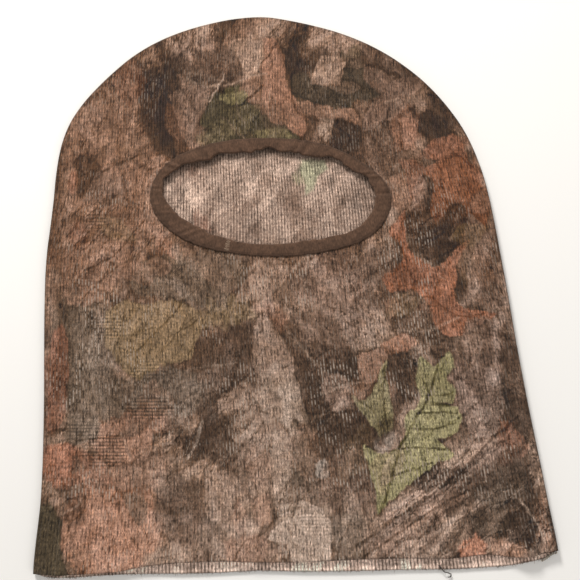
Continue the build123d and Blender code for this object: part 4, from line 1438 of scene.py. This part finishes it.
def panel_uv(place, quads, faces, front):
    """The flat pattern: printed face on the left share of the sheet, inner face on the right."""
    count = len(place)
    share = 0.66 if front else 0.5
    flat = (place + SHEET_CORNER) / SHEET
    v = 0.004 + 0.992 * flat[:, 1]
    outer = np.stack([0.004 + flat[:, 0] * (share - 0.008), v], 1)
    inner = np.stack([share + 0.004 + flat[:, 0] * (1 - share - 0.008), v], 1)
    uv = np.concatenate([outer, inner])[faces.ravel()].reshape(-1, 4, 2)
    # the rim's far side lies just outside the printed face
    centre, uses = np.zeros((count, 2)), np.zeros(count)
    quad_centre = place[quads].mean(1)
    for i in range(4):
        np.add.at(centre, quads[:, i], quad_centre)
        np.add.at(uses, quads[:, i], 1)
    away = place - centre / np.maximum(uses, 1)[:, None]
    away /= np.maximum(np.linalg.norm(away, axis=1), 1e-9)[:, None]
    beyond = outer + away * (CLOTH / SHEET) * np.array([share, 1])
    start = len(quads) * 2
    rim = faces[start:]
    for i in (0, 1):
        uv[start:, i] = outer[rim[:, i]]
    for i in (2, 3):
        uv[start:, i] = beyond[rim[:, i] - count]
    return uv.reshape(-1, 2)


def build_panel(name, hem, front):
    sheet, quads = panel_sheet(hem, front)
    count = len(sheet)
    faces = np.concatenate([quads, quads[:, ::-1] + count, rim_quads(quads, count)])
    x, y, rib, edge, above_hem, strip = sheet[:, 3:].T
    outer, inner, tick = panel_colours(x, y, rib, edge, above_hem, strip > 0, front)
    attributes = {
        "Col": np.concatenate([outer, inner]),
        "rib": np.tile(rib, 2), "crs": np.tile(y, 2) / COURSE,
        "face": np.repeat([0.0, 1.0], count),
        "tick": np.concatenate([tick, np.full(count, 0.12)]),
        "bars": np.concatenate([bar_zone(x, y), np.zeros(count)])}
    return add_mesh(name, thicken(sheet, quads, front), [faces], attributes,
                    panel_uv(sheet[:, PLACE], quads, faces, front))


# ------------------------------------------------------------------ binding
STITCH_SHARE = 0.87       # where the needle stitches lie across the tape
TAPE_WIDTH = 8.0
TAPE_HALF = 0.30          # half the tape's thickness
FOLD_Z, FOLD_RADIUS = 1.70, 0.85        # centre of the fold off the seam plane, and its radius
TOP_COUNT = 15            # section points on the upper leg
STITCHES = 105


def ring_quads(around, section):
    """Quads of a closed ring with a closed section."""
    index = np.arange(around * section).reshape(around, section)
    ahead = np.roll(index, -1, 0)
    return np.stack([index, ahead, np.roll(ahead, -1, 1), np.roll(index, -1, 1)],
                    -1).reshape(-1, 4)


def tape_section():
    """Mid line of the tape: outer leg in to the fold, round it, and back out underneath."""
    top = [(share, FOLD_Z + FOLD_RADIUS + 0.16 * math.sin(math.pi * min(1, (1 - share) / 0.86)))
           for share in np.linspace(1.0, 0.16, TOP_COUNT)]
    fold = [(0.125 - 0.085 * math.sin(t), FOLD_RADIUS * math.cos(t) + FOLD_Z)
            for t in np.linspace(0.25, math.pi - 0.25, 9)]
    under = [(share, FOLD_Z - FOLD_RADIUS) for share in np.linspace(0.16, 0.96, 9)]
    return np.array(top + fold + under)           # share across the binding, rise


def tape_uv(around, section):
    """Along the ring in u, round the section in v, in six rows."""
    row_count = 6
    per_row = around / row_count
    i, j = np.meshgrid(np.arange(around), np.arange(section), indexing="ij")
    row = np.floor(i / per_row)
    uv = np.empty((around, section, 4, 2))
    for corner, (di, dj) in enumerate([(0, 0), (1, 0), (1, 1), (0, 1)]):
        uv[:, :, corner, 0] = 0.004 + 0.992 * (i - row * per_row + di) / per_row
        uv[:, :, corner, 1] = (row + 0.03 + 0.94 * (j + dj) / section) / row_count
    return uv


def tape():
    around = 420
    turn = np.arange(around) * 2 * math.pi / around
    middle = tape_section()
    n = len(middle)
    size = np.array([TAPE_WIDTH, 1.0])
    along = unit(np.gradient(middle * size, axis=0))
    offset = np.stack([along[:, 1], -along[:, 0]], 1) * TAPE_HALF / size
    ring = np.concatenate([middle + offset, (middle - offset)[::-1]])
    section = len(ring)
    verts = np.empty((around, section, 3))
    colours = np.empty((around, section, 3))
    brown = srgb((83, 61, 47)) * (1 - 0.05 * ramp(-0.2, 1.2, -np.sin(turn)))[:, None]
    for j in range(section):
        outside = j < n
        k = j if outside else 2 * n - 1 - j
        mid_share = middle[k, 0]
        on_top = k < TOP_COUNT
        share, z = np.full(around, ring[j, 0]), np.full(around, ring[j, 1])
        if on_top:
            # stitches pull the leg down into the cloth; its cut lip lies on the knit
            dip = math.exp(-((mid_share - STITCH_SHARE) / 0.05) ** 2)
            z = z - dip * (0.16 + 0.10 * np.cos(turn * STITCHES))
            z = z + 0.10 * pucker(turn) * math.sin(math.pi * mid_share)
            z = z - 0.28 * max(0.0, (mid_share - 0.90) / 0.10)
            if mid_share > 0.9:
                share = share + 0.012 * np.sin(turn * 37 + 1) + 0.01 * np.sin(turn * 61)
        # small scallops where the gathers reach the fold
        share = np.clip(share, -0.05, 1.05) + scallop(turn) * (1 - ramp(0.0, 0.75, mid_share))
        x, y = opening_point(turn, share)
        verts[:, j] = np.stack([x, y, SEAM_Z + z + lift_front(x, y)], 1)
        shade = 1.0 + 0.22 * fbm(x / 3.0, y / 3.0, 500, 3) + 0.08 * np.sin(turn * 420)
        # painted shade and light of the gathers across the band
        shade = shade * (1 + 0.16 * noise(turn * OPENING_RADIUS / 1.5 + 1.3 * mid_share,
                                          np.full(around, mid_share * 1.4), 505))
        if outside and mid_share > 0.93 and on_top:
            shade = shade * 0.8
        if on_top and abs(mid_share - STITCH_SHARE) < 0.05:
            shade = shade * 0.82
        # painted highlight: the rounded fold of the tape is made paler, where light catches it
        fold_highlight = ramp(0.25, 0.0, mid_share) * 0.06  # paler at the fold
        colours[:, j] = scaled(brown, shade + fold_highlight)
    attributes = {"Col": colours.reshape(-1, 3),
                  "rib": np.repeat(turn * OPENING_RADIUS / 0.9, section),
                  "crs": np.tile(np.arange(section) * 0.45, around)}
    return add_mesh("opening_binding_tape", verts.reshape(-1, 3), [ring_quads(around, section)],
                    attributes, tape_uv(around, section))


def elastic():
    """Elastic strip inside the folded tape."""
    around = 300
    turn = np.arange(around) * 2 * math.pi / around
    # share across the binding, rise off the seam plane
    section = [(0.15, 1.35), (0.15, 2.05), (0.25, 2.12), (0.35, 2.05), (0.35, 1.35),
               (0.25, 1.28)]
    verts = np.empty((around, len(section), 3))
    for j, (share, rise) in enumerate(section):
        x, y = opening_point(turn, share + 0.7 * scallop(turn))
        z = SEAM_Z + rise + lift_front(x, y) + 0.04 * np.sin(turn * 150)
        verts[:, j] = np.stack([x, y, z], 1)
    verts = verts.reshape(-1, 3)
    return add_mesh("opening_elastic_strip", verts,
                    [ring_quads(around, len(section))[:, ::-1]],
                    {"Col": np.tile(srgb((196, 186, 168)), (len(verts), 1))})


# ------------------------------------------------------------------ threads
def binding_stitches(name, draw, share, arc, weave, rise, bow_rise, gap=0.0):
    """Short stitches round the tape.

    share: place across the tape; arc: half-length in stitch pitches; weave: swing across the
    tape; rise: off the seam plane, with bow_rise more in the middle; gap: radius left bare
    round the join.
    """
    threads = Threads()
    pitch = 2 * math.pi / STITCHES
    bow = np.sin(np.linspace(0, math.pi, 7))
    for i in range(STITCHES):
        turn = (i + 0.5) * pitch + np.linspace(-pitch * arc, pitch * arc, 7)
        turn = turn + draw.normal(0, 0.0015)
        across = share + draw.normal(0, 0.006)
        x, y = opening_point(turn, across + weave * np.sin(np.linspace(0, math.pi * 2, 7)))
        if math.hypot(x[3] + 37.0, y[3] - 20.6) < gap:
            continue
        z = SEAM_Z + rise + bow_rise * bow + lift_front(x, y)
        threads.tube(np.stack([x, y, z], 1), 0.17 * (0.55 + 0.45 * bow), sides=6,
                     colour=srgb((66, 50, 40)) * (1 + 0.25 * draw.random()))
    return threads.build(name)


def bartack(draw):
    """A close zigzag of pale thread across the tape's join."""
    heading = math.radians(-12)
    across = np.array([math.cos(heading), math.sin(heading)])
    along = np.array([-across[1], across[0]])
    half_width, length, turns = 1.15, 5.8, 12
    path = [np.array([-38.0, 23.4])
            + (half_width if i % 2 else -half_width) * across * (1 + 0.2 * draw.normal())
            + (-length / 2 + length * i / turns) * along for i in range(turns + 1)]
    path = catmull(path, 5)
    z = SEAM_Z + 2.93 + lift_front(*path.T) + 0.05 * np.sin(np.arange(len(path)))
    threads = Threads()
    threads.tube(np.column_stack([path, z]), 0.13, sides=6, colour=srgb((150, 128, 108)))
    return threads.build("binding_join_bartack_thread")


def seam_needle(draw):
    """Dark stitches in a row just inside the seam line."""
    threads = Threads()
    count = int(SEAM_RUN[-1] / 2.9)
    bow = np.sin(np.linspace(0, math.pi, 6))
    for i in range(count):
        share = np.linspace((i + 0.07) / count, (i + 0.93) / count, 6)
        x, y = seam_point(np.clip(share, 0.002, 0.998), 0.42 - 0.22 * bow)
        z = SEAM_Z + 0.04 * np.linspace(-1, 1, 6)
        threads.tube(np.stack([x, y, z], 1), 0.19 * (0.6 + 0.4 * bow), sides=6,
                     colour=srgb((58, 45, 36)) * (1 + 0.3 * draw.random()))
    return threads.build("seam_needle_stitches")


def seam_looper(name, side, rgb):
    """Loops from the seam over the allowance's edge. side: 1 above the seam plane, -1 below."""
    count = int(SEAM_RUN[-1] / 3.0)
    face = ALLOWANCE_RISE + CLOTH / 2 + 0.16      # thread lying on the allowance
    # a loop's points: share of its pitch, mm in from the seam, rise
    loop = [(0, 1.6, face), (0.4, 5.9, face), (0.5, 6.28, 0.12), (0.6, 5.9, face)]
    path = []
    for i in range(count):
        for step, inside, rise in loop:
            share = 0.004 + 0.992 * (i + (0.5 if step else 0)) / count
            if step:
                share += (step - 0.5) / count
            path.append((*seam_point(share, inside), SEAM_Z + side * rise))
    path = catmull(path, 2)
    threads = Threads()
    for k in range(0, len(path) - 1, 400):        # in lengths, so each tube stays light
        threads.tube(path[k:k + 401], 0.13, sides=5, colour=srgb(rgb))
    return threads.build(name)


def chain_tail(name, start, heading, length, rise, seed, spread):
    """The chain that runs off the end of the seam: loops of pale and dark thread."""
    draw = np.random.default_rng(seed)
    step = 0.9
    count = int(length / step)
    bend = np.cumsum(draw.normal(0, 0.10, count + 1))
    spine = [np.array(start, float)]
    for i in range(count):
        turn = heading + 0.25 * math.sin(i * 0.5 + seed) + 0.3 * bend[i]
        spine.append(spine[-1] + step * np.array([math.cos(turn), math.sin(turn)]))
    spine = catmull(spine, 6)
    run = np.arange(len(spine))
    z = rise + 0.08 * np.sin(run * 0.31)
    along = unit(np.gradient(spine, axis=0))
    side = np.stack([-along[:, 1], along[:, 0]], 1)
    threads = Threads()
    for k, rgb in enumerate(((206, 198, 184), (64, 50, 42), (186, 172, 152))):
        phase = run * 2 * math.pi / 9 + k * 2.1
        path = spine + side * (0.34 * spread * np.sin(phase))[:, None]
        threads.tube(np.column_stack([path, z + 0.24 * np.cos(phase)]), 0.13, sides=6,
                     colour=srgb(rgb))
    return threads.build(name)


def yarn_end(draw):
    """A loose end of two twisted strands at the neck edge, with stray fibres."""
    threads = Threads()
    path = catmull([(76.8, -150.6, 1.5), (78.4, -152.6, 1.6), (79.6, -154.0, 1.5),
                    (81.8, -154.6, 1.2), (83.2, -155.4, 0.9), (83.0, -156.6, 0.7),
                    (81.8, -156.9, 0.55)], 8)
    run = np.arange(len(path))
    radii = 0.19 * ramp(len(path) + 2, len(path) - 6, run) + 0.04
    for k in range(2):
        phase = run * 0.8 + k * math.pi
        twist = np.column_stack([0.13 * np.cos(phase), 0.05 * np.sin(phase),
                                 0.13 * np.sin(phase)])
        threads.tube(path + twist, radii, sides=6, colour=srgb((48, 38, 34)))
    for _ in range(9):
        root = path[int(draw.integers(10, len(path) - 1))]
        out = draw.normal(0, 1, 3)
        out[2] = abs(out[2]) * 0.4
        out /= np.linalg.norm(out)
        fibre = np.array([root, root + out * 0.6, root + out * 1.1 + (0.2, -0.2, 0)])
        fibre[:, 2] = np.maximum(fibre[:, 2], 0.15)
        threads.tube(fibre, 0.045, sides=4, colour=srgb((70, 56, 48)))
    return threads.build("loose_yarn_end_twist")


def front_edge_height(x, y):
    x, y = np.array([x]), np.array([y + 1.0])
    return float((SEAM_Z + MID_RISE + lift_front(x, y, edge_distance(x, y)[0]))[0]) + 0.5


def fray(name, hem, height, count, seed):
    """Frayed yarn at a cut edge."""
    draw = np.random.default_rng(seed)
    threads = Threads()
    line = hem[(hem[:, 0] > -138) & (hem[:, 0] < 138)]
    for _ in range(count):
        k = int(draw.integers(2, len(line) - 2))
        t = draw.random()
        x, y = line[k] * (1 - t) + line[k + 1] * t
        z = height(x, y) + draw.uniform(-0.3, 0.3)
        length = draw.uniform(0.35, 1.3) * (1.4 if draw.random() < 0.1 else 1)
        heading = -math.pi / 2 + draw.normal(0, 0.55)
        curl = draw.normal(0, 0.9)
        path = [np.array([x, y + 0.15, z])]
        for _ in range(3):
            heading += curl / 3
            path.append(path[-1] + length / 3 * np.array(
                [math.cos(heading), math.sin(heading), draw.normal(0, 0.12)]))
        path = np.array(path)
        path[:, 2] = np.maximum(path[:, 2], 0.12)
        pale = draw.random()
        threads.tube(path, [0.09, 0.08, 0.06, 0.04], sides=4,
                     colour=srgb((170, 150, 132)) * pale + srgb((84, 66, 54)) * (1 - pale))
    return threads.build(name)


# ------------------------------------------------------------------ materials
class Shader:
    """A material's node graph, with short ways to add nodes."""

    def __init__(self, name):
        self.material = bpy.data.materials.new(name)
        self.material.use_nodes = True
        self.tree = self.material.node_tree
        self.tree.nodes.clear()
        self.output = self.node("OutputMaterial")
        self.principled = self.node("BsdfPrincipled")
        self.put(self.output, {0: self.principled.outputs[0]})

    def put(self, node, inputs):
        """Set a node's inputs: sockets are linked, anything else is a value."""
        for key, value in inputs.items():
            if isinstance(value, bpy.types.NodeSocket):
                self.tree.links.new(value, node.inputs[key])
            else:
                node.inputs[key].default_value = value

    def node(self, kind, inputs=None, **settings):
        node = self.tree.nodes.new("ShaderNode" + kind)
        for key, value in settings.items():
            setattr(node, key, value)
        self.put(node, inputs or {})
        return node

    def surface(self, **inputs):
        """Principled inputs, with _ for each space in a name."""
        self.put(self.principled, {k.replace("_", " "): v for k, v in inputs.items()})

    def math(self, operation, *values):
        return self.node("Math", dict(enumerate(values)), operation=operation).outputs[0]

    def add(self, a, b):
        return self.math("ADD", a, b)

    def sub(self, a, b):
        return self.math("SUBTRACT", a, b)

    def mul(self, a, b):
        return self.math("MULTIPLY", a, b)

    def mul_add(self, value, gain, base):
        return self.math("MULTIPLY_ADD", value, gain, base)

    def vary(self, value, gain, middle=1.0):
        """A 0 to 1 value spread over gain, centred on middle."""
        return self.mul_add(value, gain, middle - gain / 2)

    def ramp(self, value, start, end):
        return self.node("MapRange", {"Value": value, "From Min": start, "From Max": end},
                         interpolation_type="SMOOTHSTEP").outputs[0]

    def attribute(self, name, output="Fac"):
        return self.node("Attribute", attribute_name=name).outputs[output]

    def coordinates(self):
        return self.node("TexCoord").outputs["Object"]

    def noise(self, vector, scale, detail, roughness=0.5):
        inputs = {"Scale": scale, "Detail": detail, "Roughness": roughness}
        if vector is not None:
            inputs["Vector"] = vector
        return self.node("TexNoise", inputs).outputs[0]

    def stretched_noise(self, vector, scale, detail, roughness):
        mapped = self.node("Mapping", {"Vector": vector, "Scale": scale}).outputs[0]
        return self.noise(mapped, 1.0, detail, roughness)

    def scale(self, colour, factor):
        return self.node("VectorMath", {0: colour, "Scale": factor},
                         operation="SCALE").outputs[0]

    def bump(self, height, strength, distance):
        node = self.node("Bump", {"Strength": strength, "Distance": distance,
                                  "Height": height})
        self.surface(Normal=node.outputs[0])


def valley_dashes(g, base, rib, course, grit, coords):
    """Dashes up the valleys, bare pale yarn or shadow rib by rib, and bars across the ribs."""
    valley_at = g.math("FLOOR", g.add(rib, 0.5))
    off_valley = g.math("ABSOLUTE", g.sub(rib, valley_at))

    def run(across, along, layer, detail):
        """Noise that runs up each rib on its own."""
        vector = g.node("CombineXYZ", {
            0: g.mul(valley_at, across),
            1: g.mul_add(valley_at, 0.71, g.mul(course, along)), "Z": layer}).outputs[0]
        return g.noise(vector, 1.0, detail, roughness=0.6)

    valley = g.ramp(off_valley, 0.30, 0.06)
    runs = g.add(g.mul(run(across=7.37, along=0.26, layer=2.0, detail=2.0), 0.6),
                 g.mul(run(across=5.13, along=0.62, layer=9.0, detail=1.0), 0.4))
    clump = g.noise(coords, scale=120.0, detail=2.0)
    pale = g.mul(g.mul(valley, g.ramp(runs, 0.43, 0.60)), g.attribute("tick"))
    pale = g.mul(pale, g.mul_add(g.ramp(clump, 0.42, 0.60), 0.85, 0.22))
    shade = g.mul_add(g.mul(valley, g.ramp(runs, 0.54, 0.40)), -0.70, 1.06)
    ridge = g.mul(g.sub(1.0, valley),
                  g.sub(run(across=3.7, along=1.1, layer=4.0, detail=1.0), 0.5))
    shade = g.mul(shade, g.mul_add(ridge, 2.1, 1.0))
    # bars, with dark gaps and lit middles
    bars = g.attribute("bars")
    phase = g.mul_add(grit, 0.22, g.mul(course, 0.74))
    off = g.math("ABSOLUTE", g.sub(g.math("FRACT", phase), 0.5))
    shade = g.mul(shade, g.mul_add(g.mul(g.ramp(off, 0.26, 0.06), bars), -0.52, 1.0))
    shade = g.mul(shade, g.mul_add(g.mul(g.ramp(off, 0.22, 0.42), bars), 0.26, 1.0))
    factor, colour_a, colour_b, result = 0, 6, 7, 2       # sockets of a colour Mix node
    return g.node("Mix", {factor: g.mul(pale, 0.72), colour_a: g.scale(base, shade),
                          colour_b: (0.50, 0.41, 0.34, 1)}, data_type="RGBA").outputs[result]


def knit_material(name, rib_height, bump_depth, fibre, crinkle_height, grit_tone, fine_tone,
                  sheen, roughness, printed):
    """Knit: painted colour, fibre speckle, and V stitches up each rib.

    The heights and fibre are shares of the bump; the tones say how far noise varies the colour.
    """
    g = Shader(name)
    colour = g.attribute("Col", "Color")
    rib, course = g.attribute("rib"), g.attribute("crs")
    coords = g.coordinates()
    fine = g.stretched_noise(coords, (2600, 700, 2600), detail=2.0, roughness=0.6)
    broad = g.noise(coords, scale=45.0, detail=3.0, roughness=0.55)
    crinkle = g.stretched_noise(coords, (640, 210, 640), detail=2.0, roughness=0.55)
    grit = g.stretched_noise(coords, (1500, 620, 1500), detail=1.0, roughness=0.5)
    # stitch shape: two arms of a V in each rib
    off_rib = g.math("ABSOLUTE", g.sub(g.math("FRACT", rib), 0.5))   # 0 on a rib
    slanted = g.add(course, g.mul(off_rib, 1.5))
    stitch = g.math("SINE", g.mul(slanted, 2 * math.pi))
    rib_wave = g.math("COSINE", g.mul(off_rib, 2 * math.pi))
    height = g.add(g.mul(rib_wave, rib_height), g.mul(stitch, 0.25))
    height = g.add(height, g.mul(fine, fibre))
    height = g.add(height, g.mul(crinkle, crinkle_height))
    g.bump(height, strength=0.8, distance=bump_depth)
    # colour, with painted shade that follows the relief: darker in the crinkles' hollows, the V
    # stitches and the rib valleys; the printed face takes more crinkle shade than the inner one
    crinkle_shade = g.mul_add(g.attribute("face"), -0.75, 1.1) if printed else 0.3
    tone = g.mul(g.vary(grit, grit_tone), g.mul_add(g.sub(crinkle, 0.5), crinkle_shade, 1.0))
    tone = g.mul(tone, g.vary(fine, fine_tone))
    tone = g.mul(g.mul(tone, g.mul_add(stitch, 0.045, 1.0)),
                 g.mul(g.mul_add(rib_wave, 0.05, 1.0), g.vary(broad, 0.16)))
    base = g.scale(colour, tone)
    if printed:
        base = valley_dashes(g, base, rib, course, grit, coords)
    g.surface(Base_Color=base, Roughness=g.vary(fine, 0.10, middle=roughness),
              Specular_IOR_Level=0.18, Sheen_Weight=sheen, Sheen_Roughness=0.6,
              Sheen_Tint=(0.9, 0.82, 0.74, 1))
    return g.material


def thread_material(name, roughness, twist, sheen):
    """Painted colour with fine speckle; twist is the speckle's scale."""
    g = Shader(name)
    colour = g.attribute("Col", "Color")
    speckle = g.noise(g.coordinates(), scale=twist, detail=2.0)
    g.bump(speckle, strength=0.5, distance=0.00006)
    g.surface(Base_Color=g.scale(colour, g.vary(speckle, 0.5)),
              Roughness=g.mul_add(speckle, 0.15, roughness - 0.07),
              Specular_IOR_Level=0.25, Sheen_Weight=sheen)
    return g.material


def paper_material():
    g = Shader("paper")
    g.surface(Base_Color=(0.90, 0.895, 0.875, 1), Roughness=0.85, Specular_IOR_Level=0.1)
    g.bump(g.noise(None, scale=3.0, detail=2.0), strength=0.05, distance=0.002)
    return g.material


# ------------------------------------------------------------------ the mask
def build_pieces():
    """Every piece with its material, and the CAD piece it stands for, which is hidden."""
    draw = np.random.default_rng(7)
    obs = [
        build_panel("front_panel_knit", FRONT_HEM_LINE, front=True),
        build_panel("back_panel_knit", BACK_HEM_LINE, front=False),
        tape(),
        elastic(),
        binding_stitches("binding_needle_stitches", draw, share=STITCH_SHARE, arc=0.40,
                         weave=0.0, rise=2.48, bow_rise=0.22, gap=3.4),
        binding_stitches("binding_looper_stitches", draw, share=0.81, arc=0.46,
                         weave=0.05, rise=0.42, bow_rise=-0.10),
        bartack(draw),
        seam_needle(draw),
        seam_looper("seam_upper_looper_loops", side=1, rgb=(188, 178, 160)),
        seam_looper("seam_lower_looper_loops", side=-1, rgb=(176, 166, 150)),
        chain_tail("seam_chain_tail_left_loops", start=(-133.0, -151.6), heading=-1.35,
                   length=5.0, rise=2.35, seed=3, spread=1.0),
        chain_tail("seam_chain_tail_right_loops", start=(140.3, -143.8),
                   heading=math.pi + 0.46, length=10.0, rise=2.0, seed=5, spread=1.7),
        yarn_end(draw),
        fray("front_cut_edge_fray", FRONT_HEM_LINE, front_edge_height, count=240, seed=21),
        fray("back_cut_edge_fray", BACK_HEM_LINE, lambda x, y: 0.6, count=420, seed=22)]
    camo_knit = knit_material(
        "camo_rib_knit", rib_height=0.55, bump_depth=0.00019, fibre=0.5, crinkle_height=3.6,
        grit_tone=1.7, fine_tone=0.70, sheen=0.18, roughness=0.92, printed=True)
    brown_knit = knit_material(
        "brown_binding_knit", rib_height=0.12, bump_depth=0.00007, fibre=0.6,
        crinkle_height=0.5, grit_tone=1.35, fine_tone=0.40, sheen=0.12, roughness=0.9,
        printed=False)
    thread = thread_material("sewing_thread", roughness=0.75, twist=2200.0, sheen=0.1)
    yarn = thread_material("yarn", roughness=0.85, twist=2200.0, sheen=0.3)
    stretch = thread_material("elastic", roughness=0.6, twist=900.0, sheen=0.0)
    uses = [
        (camo_knit, "camo_rib_knit", "front_panel"),
        (camo_knit, "camo_rib_knit", "back_panel"),
        (brown_knit, "brown_binding_knit", "opening_binding"),
        (stretch, "elastic", "opening_elastic"),
        (thread, "dark_thread", "binding_needle_thread"),
        (thread, "dark_thread", "binding_looper_thread"),
        (thread, "pale_thread", "binding_join_bartack"),
        (thread, "dark_thread", "seam_needle_thread"),
        (thread, "pale_thread", "seam_upper_looper_thread"),
        (thread, "pale_thread", "seam_lower_looper_thread"),
        (thread, "pale_thread", "seam_chain_tail_left"),
        (thread, "pale_thread", "seam_chain_tail_right"),
        (yarn, "dark_yarn", "loose_yarn_end"),
        (yarn, "camo_rib_knit", "front_panel"),
        (yarn, "camo_rib_knit", "back_panel")]
    for ob, (material, slot, stands_for) in zip(obs, uses):
        ob.data.materials.append(material)
        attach(ob, "root")
        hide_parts(stands_for)


# ------------------------------------------------------------------ floor, light, camera (metres)
def add_floor():
    bpy.ops.mesh.primitive_plane_add(size=4.0, location=(0, 0, -0.0004))
    floor = bpy.context.object
    floor.name = "floor"
    floor.data.materials.append(paper_material())


def add_world(scene):
    scene.view_settings.view_transform = "Standard"
    scene.view_settings.look = "None"
    if scene.world is None:
        scene.world = bpy.data.worlds.new("studio")
    scene.world.use_nodes = True
    background = next(n for n in scene.world.node_tree.nodes if n.type == "BACKGROUND")
    background.inputs["Color"].default_value = (1.0, 0.965, 0.93, 1)
    background.inputs["Strength"].default_value = 0.47


def add_light(scene, name, place, size, watts, colour):
    """A square light aimed at the origin."""
    light = bpy.data.lights.new(name, "AREA")
    light.shape = "SQUARE"
    light.size = size
    light.energy = watts
    light.color = colour
    ob = bpy.data.objects.new(name, light)
    scene.collection.objects.link(ob)
    ob.location = place
    ob.rotation_euler = (-Vector(place)).to_track_quat("-Z", "Y").to_euler()


def add_camera(scene):
    data = bpy.data.cameras.new("camera")
    data.lens = 67.0
    data.sensor_width = 36.0
    data.clip_start = 0.01
    camera = bpy.data.objects.new("camera", data)
    scene.collection.objects.link(camera)
    camera.location = (-0.003245, -0.084842, 0.596161)
    camera.rotation_euler = (math.radians(8), 0, 0)
    scene.camera = camera


build_pieces()
add_floor()
add_world(bpy.context.scene)
add_light(bpy.context.scene, "key", place=(-0.30, 0.84, 0.60), size=0.26, watts=11.2,
          colour=(1.0, 0.97, 0.935))
add_light(bpy.context.scene, "fill", place=(0.5, -0.5, 0.9), size=0.8, watts=2.2,
          colour=(1.0, 0.97, 0.94))
add_camera(bpy.context.scene)
